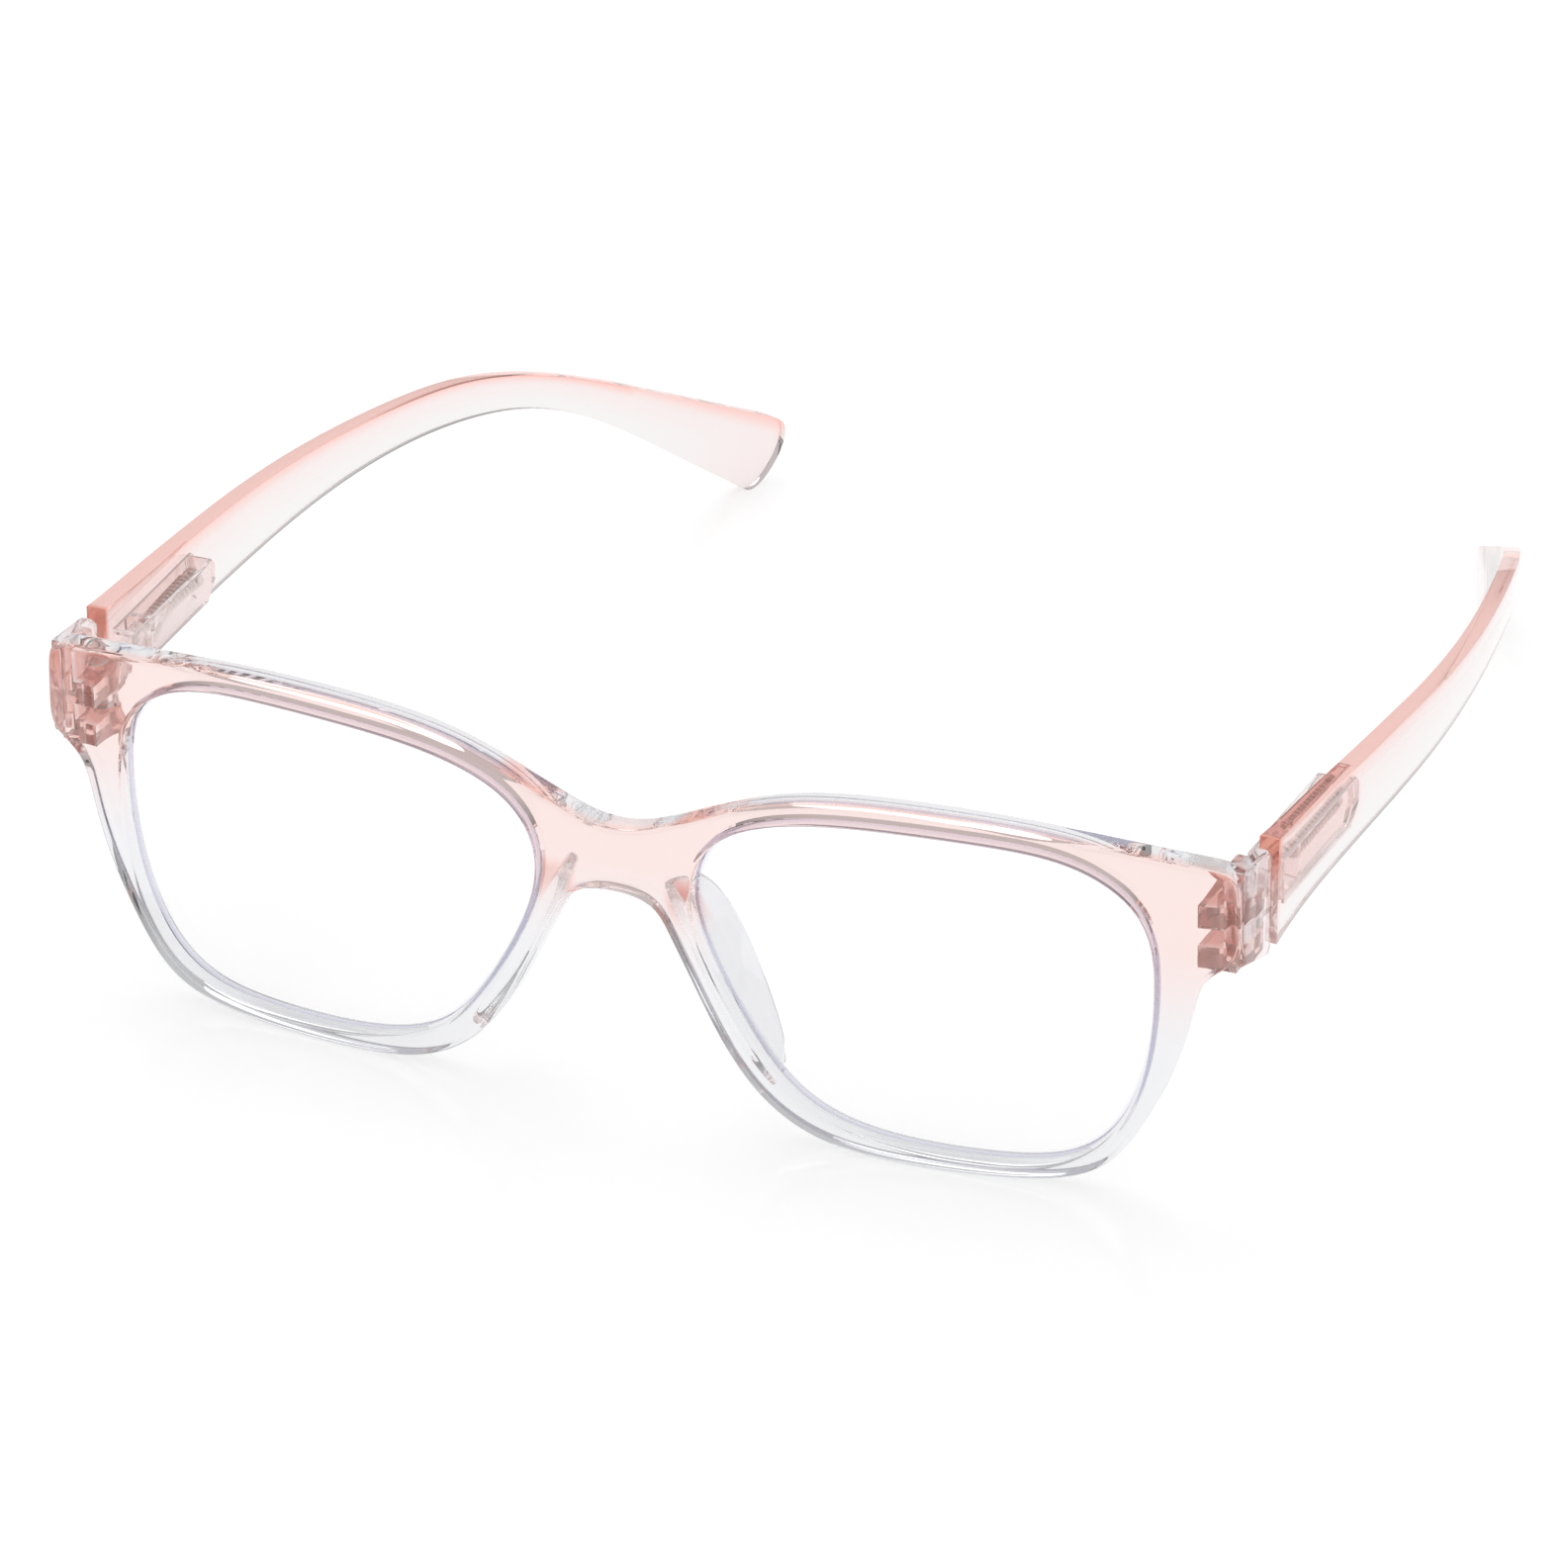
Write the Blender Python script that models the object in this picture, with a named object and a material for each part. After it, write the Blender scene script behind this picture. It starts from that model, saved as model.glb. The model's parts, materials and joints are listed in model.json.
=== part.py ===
"""Blue-light glasses with sprung plastic hinges, standing open on a flat surface.

Metres, +Z up. X runs across the face, the wearer looks along -Y, and z = 0 is the surface
that the lower rims and the temple tips touch. Right means +X, as seen from in front of the
glasses, which is the wearer's left. The left side mirrors the right side. The
shapes are written with y = 0 at the bridge, and a root empty then moves them forwards, so
that the origin lies under the middle of the open glasses.
A face coordinate (u, w) runs across and up the bent, tilted front, and depth goes back
from its front skin along the local normal. A hinge coordinate (x, y, z) is measured from
the middle of the hinge pin, with y along the temple and x outwards.
"""

import math

import bmesh
import bpy
import numpy as np
from mathutils import Matrix, Vector

MM = 0.001
MIDDLE_Y = 76.575 * MM  # from the bridge back to the middle of the open glasses
ROOT_NAME = "glasses_root"

# Front: the skin bends back at y = FACE_BEND u^2 and twists a little towards the ends
FACE_BEND = 1.5
FACE_CREASE = 0.031  # slope of each half away from the bridge
CREASE_SOFT = 8.0 * MM
FACE_TILT = math.radians(1.56)  # the top leans forwards
FACE_TWIST = 0.257
TWIST_LEVEL = 22.0 * MM
FRONT_DEPTH = 3.6 * MM
EDGE_ROUND = 0.7 * MM
APERTURE_ROUND = 0.45 * MM
LOOP_STEP = 2.3 * MM

# Right half of the outline as (u, w): along the top edge, down the end piece, round the rim.
TOP_EDGE = [(0, 35.1), (8, 37.5), (18, 41.6), (30, 43.6), (45, 43.7), (58, 42.7), (68.9, 41.7)]
END_CORNER = [(69.65, 41.4), (69.95, 40.8), (70.05, 39.5), (70.3, 32.6)]
LOWER_EDGE = [
    (70.3, 32.6), (69.7, 30.7), (67.6, 29.2), (65.9, 27.0), (64.8, 22.2), (63.0, 16.1),
    (59.8, 9.2), (55.3, 3.3), (47.8, 0.7), (36.7, 0.0), (26.0, 0.7), (19.1, 3.6),
    (14.7, 8.0), (11.3, 13.6), (8.0, 20.3), (5.4, 25.6),
]
BRIDGE_UNDER = [(4.6, 26.5), (3.3, 27.0), (1.7, 27.3), (0, 27.4)]
# Right lens opening as (u, w), once round.
APERTURE = [
    (59.4, 34.9), (52.3, 40.0), (42.5, 41.1), (32.0, 40.9), (21.5, 39.8), (12.6, 36.2),
    (9.1, 29.0), (11.4, 20.4), (15.8, 12.4), (21.6, 5.6), (30.5, 2.4), (42.0, 2.0),
    (52.0, 3.8), (57.6, 9.6), (60.2, 17.5), (61.0, 26.5),
]

# Lens and its groove, as depths behind the front skin
LENS_FRONT = 1.85 * MM
LENS_BACK = 2.95 * MM
LENS_DOME = 1.1 * MM
LENS_REACH = 0.55 * MM  # how far the lens goes past the opening, into the groove
LENS_GAP = 0.12 * MM

# Nose pads, moulded on the back of the inner rims
PAD_LINE = [(5.6, 28.8), (7.9, 24.2), (10.5, 18.6), (13.7, 12.2), (17.9, 6.0)]
PAD_THICKNESS = 2.0 * MM
PAD_REACH = 6.5 * MM
PAD_SPLAY = math.radians(10)
PAD_ROOT = 0.45 * MM  # how far the blade starts inside the back of the rim
PAD_END_SINK = 0.6 * MM  # how far its two ends run out under the back of the rim
PAD_FULLNESS = 0.4  # below 1 makes the blade full along its length and blunt at its ends
PAD_END_SHARE = 0.03
PAD_END_THICKNESS = 0.35  # as a share of the full thickness

# Hinge, with the pin upright
PIN = Vector((66.7 * MM, 12.4 * MM, 32.6 * MM))
TEMPLE_TURN = math.radians(1.5)  # the temples open slightly outwards
LUG_RADIUS = 2.0 * MM
UPPER_LUG = (1.1 * MM, 3.8 * MM)
LOWER_LUG = (-3.7 * MM, -1.1 * MM)
EYE_RADIUS = 1.9 * MM
EYE_HALF = 0.9 * MM
PIN_RADIUS = 0.7 * MM
BORE_RADIUS = 0.82 * MM
HEAD_RADIUS = 1.25 * MM
HEAD_HEIGHT = 0.8 * MM
HEAD_GAP = 0.15 * MM
HEAD_DEPTH = 0.1 * MM  # how far the head lies below the top of the upper lug
SCREW_FOOT = 0.3 * MM
SLOT_WIDTH = 0.4 * MM
SLOT_DEPTH = 0.5 * MM

# End pieces, which wrap back round the hinge
END_INNER = 67.4 * MM
END_OUTER = 70.15 * MM
END_BACK = 10.1 * MM
WALL_INNER = 68.95 * MM
WALL_BACK = 14.2 * MM
# Side view of an end piece as (y, z)
END_PROFILE = [(5.4, 41.2), (12.6, 40.7), (14.2, 39.3), (14.2, 28.3), (13.4, 27.5), (5.4, 30.0)]
HINGE_SPACE_Z = (20 * MM, 50 * MM)  # past the end piece above and below
LUG_OVERLAP = 0.3 * MM
LUG_ROOT_Y = 6.0 * MM  # inside the back of the rim

# Temple: plan line of the outer face (y, x), top edge and bottom edge (y, z)
TEMPLE_PLAN = [
    (14.9, 70.5), (20, 70.7), (30, 71.0), (60, 71.5), (85, 69.7), (105, 66.0), (122, 60.8),
    (138, 54.1), (154.4, 47.0),
]
TEMPLE_TOP = [
    (14.9, 40.8), (20, 40.3), (30, 39.6), (45, 38.4), (60, 37.0), (85, 34.1), (105, 30.8),
    (122, 24.7), (138, 16.5), (150.8, 9.6),
]
TEMPLE_BOTTOM = [
    (14.9, 28.2), (20, 29.1), (30, 29.7), (45, 29.6), (60, 29.2), (85, 28.5), (105, 26.0),
    (122, 20.0), (138, 8.4), (147.1, 1.2),
]
TEMPLE_TIP = [(153.4, 8.0), (154.3, 6.2), (153.5, 3.7), (151.4, 1.2), (149.0, 0.05)]
TEMPLE_FRONT_THICKNESS = 2.25 * MM
TEMPLE_THICKNESS = 2.0 * MM
TEMPLE_ROUND = 0.45 * MM
TEMPLE_TAPER = (30.0 * MM, 60.0 * MM)  # where the thickness changes, in y

# Spring box on the inner side of the temple, in hinge coordinates
BOX_SIDE = [(5.3, 4.4), (25.6, 4.4), (26.4, 3.6), (26.4, 1.6), (24.2, -0.6), (5.3, -0.6)]
BOX_INNER = -1.0 * MM
BOX_OUTER = 2.35 * MM
BOX_WALL = 0.6 * MM
BOX_ROUND = 0.3 * MM
POCKET_FLOOR = 2.6 * MM
POCKET_GAP = 0.15 * MM
BULKHEAD = (9.6 * MM, 10.4 * MM)
CAVITY_START = 4.0 * MM
CAVITY_SLOPE_Y = 23.7 * MM  # where the floor turns up behind the spring
CAVITY_SLOPE_RISE = 1.8 * MM
CAVITY_END = 25.5 * MM
ROD_AXIS = (0.95 * MM, 2.2 * MM)  # x and z
ROD_RADIUS = 0.42 * MM
ROD_GAP = 0.15 * MM
ROD_END = 24.5 * MM
GUIDE_X = (-0.2 * MM, 1.1 * MM)
GUIDE_Z = (0.25 * MM, 3.5 * MM)
GUIDE_Y = (2.6 * MM, 9.3 * MM)
NECK_X = (-0.7 * MM, 1.1 * MM)
NECK_Y = (0.9 * MM, 4.6 * MM)
NUT_Y = (23.2 * MM, 24.3 * MM)
NUT_RADIUS = 0.92 * MM
NUT_GAP = 0.08 * MM
SPRING_Y = (10.55 * MM, 23.05 * MM)
SPRING_RADIUS = 0.82 * MM
WIRE_RADIUS = 0.17 * MM
SPRING_TURNS = 14
SPRING_STEPS = 8  # rings in each turn
WIRE_SIDES = 5

ROUND_SEGMENTS = 20


def clear_scene():
    for obj in list(bpy.data.objects):
        bpy.data.objects.remove(obj, do_unlink=True)


# Curves and loops


def spline(points, per_span, closed=False):
    """Points along a smooth cubic curve through the given points."""
    knots = np.asarray(points, float)
    count = len(knots)
    system = 4.0 * np.eye(count)
    bends = 6.0 * (np.roll(knots, -1, 0) - 2 * knots + np.roll(knots, 1, 0))
    for i in range(count):
        system[i, i - 1] += 1.0
        system[i, (i + 1) % count] += 1.0
    if not closed:
        for end in (0, count - 1):
            system[end] = 0.0
            system[end, end] = 1.0
            bends[end] = 0.0
    second = np.linalg.solve(system, bends)
    found = []
    for i in range(count if closed else count - 1):
        j = (i + 1) % count
        for t in np.arange(per_span) / per_span:
            s = 1.0 - t
            curve = ((s**3 - s) * second[i] + (t**3 - t) * second[j]) / 6.0
            found.append(s * knots[i] + t * knots[j] + curve)
    if not closed:
        found.append(knots[-1])
    return np.array(found)


def resampled(loop, step):
    """A closed loop with its points about one step apart."""
    ring = np.vstack([loop, loop[:1]])
    along = np.concatenate([[0.0], np.cumsum(np.linalg.norm(np.diff(ring, axis=0), axis=1))])
    count = int(round(along[-1] / step))
    places = np.arange(count) * along[-1] / count
    return np.stack([np.interp(places, along, ring[:, axis]) for axis in range(2)], 1)


def offset_loop(loop, distance):
    """The counter-clockwise loop moved outwards by the distance, inwards if negative."""
    tangent = np.roll(loop, -1, 0) - np.roll(loop, 1, 0)
    normal = np.stack([tangent[:, 1], -tangent[:, 0]], 1)
    return loop + distance * normal / np.linalg.norm(normal, axis=1)[:, None]


def front_outline():
    """The whole outer edge of the front, counter-clockwise, as (u, w)."""
    mirrored_start = [(-TOP_EDGE[1][0], TOP_EDGE[1][1])] + TOP_EDGE
    top = spline(mirrored_start, 12)[12:]
    low = spline(LOWER_EDGE, 8)
    right = np.vstack([top, END_CORNER[:-1], low, BRIDGE_UNDER])[::-1]
    left = right[::-1][1:-1] * (-1, 1)
    loop = np.vstack([right, left]) * MM
    return resampled(loop, LOOP_STEP)


def aperture_outline():
    """The right lens opening, counter-clockwise, as (u, w)."""
    return resampled(spline(APERTURE, 12, closed=True) * MM, LOOP_STEP)


def skin_point(u, w):
    """The place of a face coordinate on the front skin."""
    crease = math.hypot(u, CREASE_SOFT) - CREASE_SOFT
    twist = FACE_TWIST * abs(u) * (w - TWIST_LEVEL)
    y = FACE_BEND * u * u - FACE_CREASE * crease - w * math.sin(FACE_TILT) - twist
    return Vector((u, y, w * math.cos(FACE_TILT)))


def on_face(u, w, depth):
    """The place of a face coordinate at a depth behind the front skin."""
    step = 0.1 * MM
    across = skin_point(u + step, w) - skin_point(u - step, w)
    up = skin_point(u, w + step) - skin_point(u, w - step)
    return skin_point(u, w) + depth * up.cross(across).normalized()


# Meshes


def new_mesh(bm, name):
    bmesh.ops.recalc_face_normals(bm, faces=bm.faces)
    mesh = bpy.data.meshes.new(name)
    bm.to_mesh(mesh)
    bm.free()
    if sum(polygon_volume(mesh, polygon) for polygon in mesh.polygons) < 0:
        mesh.flip_normals()
    return mesh


def polygon_volume(mesh, polygon):
    """Six times the signed volume between the origin and a polygon."""
    corners = [mesh.vertices[i].co for i in polygon.vertices]
    fan = zip(corners[1:-1], corners[2:])
    return sum(corners[0].dot(a.cross(b)) for a, b in fan)


def add_object(name, mesh, material=None, parent=None, smooth_angle=38):
    obj = bpy.data.objects.new(name, mesh)
    bpy.context.scene.collection.objects.link(obj)
    obj.parent = parent or bpy.data.objects[ROOT_NAME]
    if material is None:
        obj.hide_render = True
        obj.display_type = "WIRE"
    else:
        mesh.materials.append(material)
        mesh.shade_smooth()
        mesh.set_sharp_from_angle(angle=math.radians(smooth_angle))
    return obj


def boolean(obj, operation, tool):
    modifier = obj.modifiers.new(f"{operation.lower()}_{tool.name}", "BOOLEAN")
    modifier.operation = operation
    modifier.solver = "EXACT"
    modifier.object = tool


def bridge_rings(bm, rings, closed=False):
    """Quads between each ring of vertices and the next, and back to the first if closed."""
    pairs = list(zip(rings[:-1], rings[1:]))
    if closed:
        pairs.append((rings[-1], rings[0]))
    for first, second in pairs:
        for i in range(len(first)):
            j = (i + 1) % len(first)
            bm.faces.new((first[i], first[j], second[j], second[i]))


def loft(rings, side=1):
    """A closed solid through rings of points, with a flat cap at each end."""
    bm = bmesh.new()
    verts = [[bm.verts.new((side * p[0], p[1], p[2])) for p in ring] for ring in rings]
    bridge_rings(bm, verts)
    bm.faces.new(verts[0])
    bm.faces.new(verts[-1])
    return bm


def prism_x(outline, low, high, side=1):
    """An outline of (y, z) points pulled along x from low to high."""
    return loft([[(x, y, z) for y, z in outline] for x in (low, high)], side)


def box(x_range, y_range, z_range, side=1):
    y0, y1 = y_range
    z0, z1 = z_range
    return prism_x([(y0, z0), (y1, z0), (y1, z1), (y0, z1)], *x_range, side)


def circle(radius, count=ROUND_SEGMENTS):
    angles = [2.0 * math.pi * i / count for i in range(count)]
    return [(radius * math.cos(a), radius * math.sin(a)) for a in angles]


def upright_cylinder(centre, radius, low, high, side=1):
    x0, y0 = centre
    ring = [(x0 + x, y0 + y) for x, y in circle(radius)]
    return loft([[(x, y, z) for x, y in ring] for z in (low, high)], side)


def rod_along_y(centre, radius, low, high, side=1):
    x0, z0 = centre
    ring = [(x0 + x, z0 + z) for x, z in circle(radius)]
    return loft([[(x, y, z) for x, z in ring] for y in (low, high)], side)


# Front


def edge_rows(depth, radius):
    """(depth, inset) rows of a wall with both edges rounded."""
    steps = [math.radians(a) for a in (0, 45, 90)]
    front = [(radius * (1 - math.sin(a)), radius * (1 - math.cos(a))) for a in reversed(steps)]
    back = [(depth - d, inset) for d, inset in reversed(front)]
    return front + back


def aperture_rows():
    """(depth, outset) rows of the opening's wall, with the lens groove between its edges."""
    rows = edge_rows(FRONT_DEPTH, APERTURE_ROUND)
    groove = [
        (LENS_FRONT - LENS_GAP, 0.0),
        (LENS_FRONT - LENS_GAP, LENS_REACH + LENS_GAP),
        (LENS_BACK + LENS_GAP, LENS_REACH + LENS_GAP),
        (LENS_BACK + LENS_GAP, 0.0),
    ]
    return rows[:3] + groove + rows[3:]


def wall_rings(bm, loop, rows, side=1):
    """Rings of vertices down a wall, one for each (depth, outset) row."""
    rings = []
    for depth, outset in rows:
        placed = [on_face(u, w, depth) for u, w in offset_loop(loop, outset)]
        rings.append([bm.verts.new((side * p.x, p.y, p.z)) for p in placed])
    bridge_rings(bm, rings)
    return rings


def ring_edges(bm, ring):
    return [bm.edges.get((ring[i], ring[(i + 1) % len(ring)])) for i in range(len(ring))]


def front_slab():
    """Both rims and the bridge as one bent plate with two lens openings."""
    bm = bmesh.new()
    rows = [(depth, -inset) for depth, inset in edge_rows(FRONT_DEPTH, EDGE_ROUND)]
    walls = [wall_rings(bm, front_outline(), rows)]
    for side in (1, -1):
        walls.append(wall_rings(bm, aperture_outline(), aperture_rows(), side))
    for end in (0, -1):
        edges = [edge for rings in walls for edge in ring_edges(bm, rings[end])]
        bmesh.ops.triangle_fill(bm, use_beauty=True, edges=edges)
    return new_mesh(bm, "front_slab")


def pad_rings():
    """Rings across a nose pad, from its top end to its lower end."""
    line = spline(PAD_LINE, 3) * MM
    tangent = np.gradient(line, axis=0)
    normal = np.stack([-tangent[:, 1], tangent[:, 0]], 1)
    normal /= np.linalg.norm(normal, axis=1)[:, None]
    rings = []
    for i, (u, w) in enumerate(line):
        share = 2.0 * i / (len(line) - 1) - 1.0
        swell = max(1.0 - share * share, PAD_END_SHARE) ** PAD_FULLNESS
        reach = FRONT_DEPTH - PAD_END_SINK + (PAD_REACH + PAD_END_SINK) * swell
        half = 0.5 * PAD_THICKNESS * (PAD_END_THICKNESS + (1.0 - PAD_END_THICKNESS) * swell)
        rings.append(pad_section(u, w, normal[i], half, reach))
    return rings


def pad_section(u, w, normal, half, reach):
    """One section of a nose pad: a blade with a round back edge."""
    root = FRONT_DEPTH - PAD_ROOT
    shape = [(-1.0, root), (-1.0, reach - half)]
    shape += [(-math.cos(a), reach - half + half * math.sin(a)) for a in (math.pi / 4, math.pi / 2)]
    shape += [(math.cos(math.pi / 4), reach - half + half * math.sin(math.pi / 4))]
    shape += [(1.0, reach - half), (1.0, root)]
    placed = []
    for across, depth in shape:
        lean = math.tan(PAD_SPLAY) * max(depth - FRONT_DEPTH, 0.0)
        shift = across * half + lean
        placed.append(on_face(u + normal[0] * shift, w + normal[1] * shift, depth))
    return placed


def end_block(side):
    """The solid of an end piece, before the hinge space is cut from it."""
    outline = [(y * MM, z * MM) for y, z in END_PROFILE]
    return prism_x(outline, END_INNER, END_OUTER, side)


def hinge_space(side):
    """What is cut from an end block, leaving its back and its outer wall."""
    across = (END_INNER - 2 * MM, WALL_INNER)
    return box(across, (END_BACK, WALL_BACK + 2 * MM), HINGE_SPACE_Z, side)


def lug(side, levels):
    """A hinge lug: round about the pin, rooted in the back of the rim and the outer wall."""
    low, high = (PIN.z + level for level in levels)
    turned = upright_cylinder((PIN.x, PIN.y), LUG_RADIUS, low, high, side)
    reach = (PIN.x - LUG_RADIUS, WALL_INNER + LUG_OVERLAP)
    root = box(reach, (LUG_ROOT_Y, PIN.y), (low, high), side)
    return turned, root


def add_tool(name, bm):
    return add_object(name, new_mesh(bm, name))


def build_front(material):
    frame = add_object("front_frame", front_slab(), material)
    for side, hand in ((1, "right"), (-1, "left")):
        block = add_tool(f"end_block_{hand}", end_block(side))
        boolean(block, "DIFFERENCE", add_tool(f"hinge_space_{hand}", hinge_space(side)))
        boolean(frame, "UNION", block)
        for level, levels in (("upper", UPPER_LUG), ("lower", LOWER_LUG)):
            for shape, bm in zip(("turned", "root"), lug(side, levels)):
                boolean(frame, "UNION", add_tool(f"lug_{level}_{shape}_{hand}", bm))
        boolean(frame, "UNION", add_tool(f"nose_pad_{hand}", loft(pad_rings(), side)))
        for cut, bm in screw_space(side):
            boolean(frame, "DIFFERENCE", add_tool(f"{cut}_{hand}", bm))
    return frame


def screw_space(side):
    centre = (PIN.x, PIN.y)
    low = PIN.z + LOWER_LUG[0] - 2 * MM
    high = PIN.z + UPPER_LUG[1]
    yield "screw_bore", upright_cylinder(centre, BORE_RADIUS, low, high + 2 * MM, side)
    seat = high - HEAD_HEIGHT - 2 * HEAD_DEPTH
    yield "screw_seat", upright_cylinder(centre, HEAD_RADIUS + HEAD_GAP, seat, high + 2 * MM, side)


def lens_rings(loop, depth, dome):
    """Rings of one lens face, from its edge inwards, crowned forwards by the dome."""
    centre = loop.mean(axis=0)
    for share in (1.0, 0.7, 0.35):
        ring = centre + share * (loop - centre)
        lift = dome * (1.0 - share * share)
        yield [on_face(u, w, depth - lift) for u, w in ring]


def lens_mesh(side, name):
    loop = offset_loop(aperture_outline(), LENS_REACH)
    front = list(lens_rings(loop, LENS_FRONT, LENS_DOME))
    back = list(lens_rings(loop, LENS_BACK, LENS_DOME))
    return new_mesh(loft(front[::-1] + back, side), name)


def screw_mesh(side, name):
    top = PIN.z + UPPER_LUG[1] - HEAD_DEPTH
    foot = PIN.z + LOWER_LUG[0] + SCREW_FOOT
    neck = top - HEAD_HEIGHT
    levels = [
        (foot, PIN_RADIUS - 0.2 * MM), (foot + SCREW_FOOT, PIN_RADIUS), (neck, PIN_RADIUS),
        (neck, HEAD_RADIUS), (top - 0.2 * MM, HEAD_RADIUS), (top, HEAD_RADIUS - 0.25 * MM),
    ]
    rings = [[(PIN.x + x, PIN.y + y, z) for x, y in circle(r)] for z, r in levels]
    return new_mesh(loft(rings, side), name)


def build_screw(side, hand, material):
    name = f"hinge_screw_{hand}"
    screw = add_object(name, screw_mesh(side, name), material)
    top = PIN.z + UPPER_LUG[1]
    across = (PIN.x - 1.2 * HEAD_RADIUS, PIN.x + 1.2 * HEAD_RADIUS)
    along = (PIN.y - SLOT_WIDTH / 2, PIN.y + SLOT_WIDTH / 2)
    slot = box(across, along, (top - SLOT_DEPTH, top + 1 * MM), side)
    boolean(screw, "DIFFERENCE", add_tool(f"screw_slot_{hand}", slot))


# Temple and hinge pieces, whose meshes are in hinge coordinates


def to_hinge(point):
    turn = Matrix.Rotation(TEMPLE_TURN, 3, "Z")
    return turn @ (Vector(point) - PIN)


def temple_edges():
    """Matching points along the top and bottom edges, closing together round the tip."""
    top = spline(TEMPLE_TOP, 3)
    bottom = spline(TEMPLE_BOTTOM, 3)
    whole_tip = spline([TEMPLE_TOP[-1]] + TEMPLE_TIP + [TEMPLE_BOTTOM[-1]], 3)[1:-1]
    half = len(whole_tip) // 2
    top = np.vstack([top, whole_tip[:half]])
    bottom = np.vstack([bottom, whole_tip[::-1][:half]])
    return top * MM, bottom * MM


def plan_line():
    """The temple's outer face seen from above, as (y, x, slope) on a fine grid."""
    fine = spline(TEMPLE_PLAN, 12) * MM
    return fine[:, 0], fine[:, 1], np.gradient(fine[:, 1], fine[:, 0])


def temple_thickness(y):
    start, end = TEMPLE_TAPER
    share = min(max((y - start) / (end - start), 0.0), 1.0)
    return TEMPLE_FRONT_THICKNESS + share * (TEMPLE_THICKNESS - TEMPLE_FRONT_THICKNESS)


def temple_mesh(side, name):
    plan_y, plan_x, plan_slope = plan_line()
    rings = []
    for (top_y, top_z), (low_y, low_z) in zip(*temple_edges()):
        ring = []
        for y, z, inner in ((top_y, top_z, 0), (low_y, low_z, 0), (low_y, low_z, 1), (top_y, top_z, 1)):
            x = float(np.interp(y, plan_y, plan_x))
            slope = float(np.interp(y, plan_y, plan_slope))
            inwards = Vector((-1.0, slope, 0.0)).normalized()
            inset = float(inner * temple_thickness(y))
            ring.append(to_hinge(Vector((x, y, z)) + inset * inwards))
        rings.append(ring)
    return new_mesh(loft(rings, side), name)


def box_side(margin=0.0):
    """The spring box's side view, grown outwards by a margin."""
    loop = np.array(BOX_SIDE)[::-1] * MM
    grown = loop + margin * np.sign(loop - loop.mean(axis=0))
    return [tuple(point) for point in grown]


def build_temple(side, hand, material, parent):
    name = f"temple_{hand}"
    temple = add_object(name, temple_mesh(side, name), material, parent)
    rounding = temple.modifiers.new("rounding", "BEVEL")
    rounding.width = TEMPLE_ROUND
    rounding.segments = 2
    rounding.limit_method = "ANGLE"
    rounding.angle_limit = math.radians(50)
    pocket = prism_x(box_side(POCKET_GAP), BOX_INNER - 3 * MM, POCKET_FLOOR, side)
    tool = add_tool(f"temple_pocket_{hand}", pocket)
    tool.parent = parent
    boolean(temple, "DIFFERENCE", tool)


def build_cover(side, hand, material, parent):
    """The spring box: a tub open to the temple, with a bulkhead that the spring pushes on."""
    name = f"hinge_cover_{hand}"
    shell = new_mesh(prism_x(box_side(), BOX_INNER, BOX_OUTER, side), name)
    cover = add_object(name, shell, material, parent)
    rounding = cover.modifiers.new("rounding", "BEVEL")
    rounding.width = BOX_ROUND
    rounding.segments = 2
    rounding.limit_method = "ANGLE"
    rounding.angle_limit = math.radians(30)
    inside_x = (BOX_INNER + BOX_WALL, BOX_OUTER + 1 * MM)
    inside_z = (BOX_SIDE[-1][1] * MM + BOX_WALL, BOX_SIDE[1][1] * MM - BOX_WALL)
    front = box(inside_x, (CAVITY_START, BULKHEAD[0]), inside_z, side)
    floor = inside_z[0]
    rear_side = [
        (BULKHEAD[1], floor), (CAVITY_SLOPE_Y, floor), (CAVITY_END, floor + CAVITY_SLOPE_RISE),
        (CAVITY_END, inside_z[1]), (BULKHEAD[1], inside_z[1]),
    ]
    rear = prism_x(rear_side, *inside_x, side)
    through = (BULKHEAD[0] - 0.6 * MM, BULKHEAD[1] + 0.6 * MM)
    hole = rod_along_y(ROD_AXIS, ROD_RADIUS + ROD_GAP, *through, side)
    for part, bm in (("guide_space", front), ("spring_space", rear), ("rod_hole", hole)):
        tool = add_tool(f"{part}_{hand}", bm)
        tool.parent = parent
        boolean(cover, "DIFFERENCE", tool)


def build_slide(side, hand, material, parent):
    """The eye on the pin, the guide block behind it and the rod through the spring."""
    name = f"hinge_slide_{hand}"
    guide = new_mesh(box(GUIDE_X, GUIDE_Y, GUIDE_Z, side), name)
    slide = add_object(name, guide, material, parent)
    eye = upright_cylinder((0, 0), EYE_RADIUS, -EYE_HALF, EYE_HALF, side)
    neck = box(NECK_X, NECK_Y, (-EYE_HALF, EYE_HALF), side)
    rod = rod_along_y(ROD_AXIS, ROD_RADIUS, GUIDE_Y[1] - 0.5 * MM, ROD_END, side)
    for part, bm in (("eye", eye), ("neck", neck), ("rod", rod)):
        tool = add_tool(f"slide_{part}_{hand}", bm)
        tool.parent = parent
        boolean(slide, "UNION", tool)
    bore = upright_cylinder((0, 0), BORE_RADIUS, -2 * MM, 2 * MM, side)
    tool = add_tool(f"slide_bore_{hand}", bore)
    tool.parent = parent
    boolean(slide, "DIFFERENCE", tool)


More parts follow.
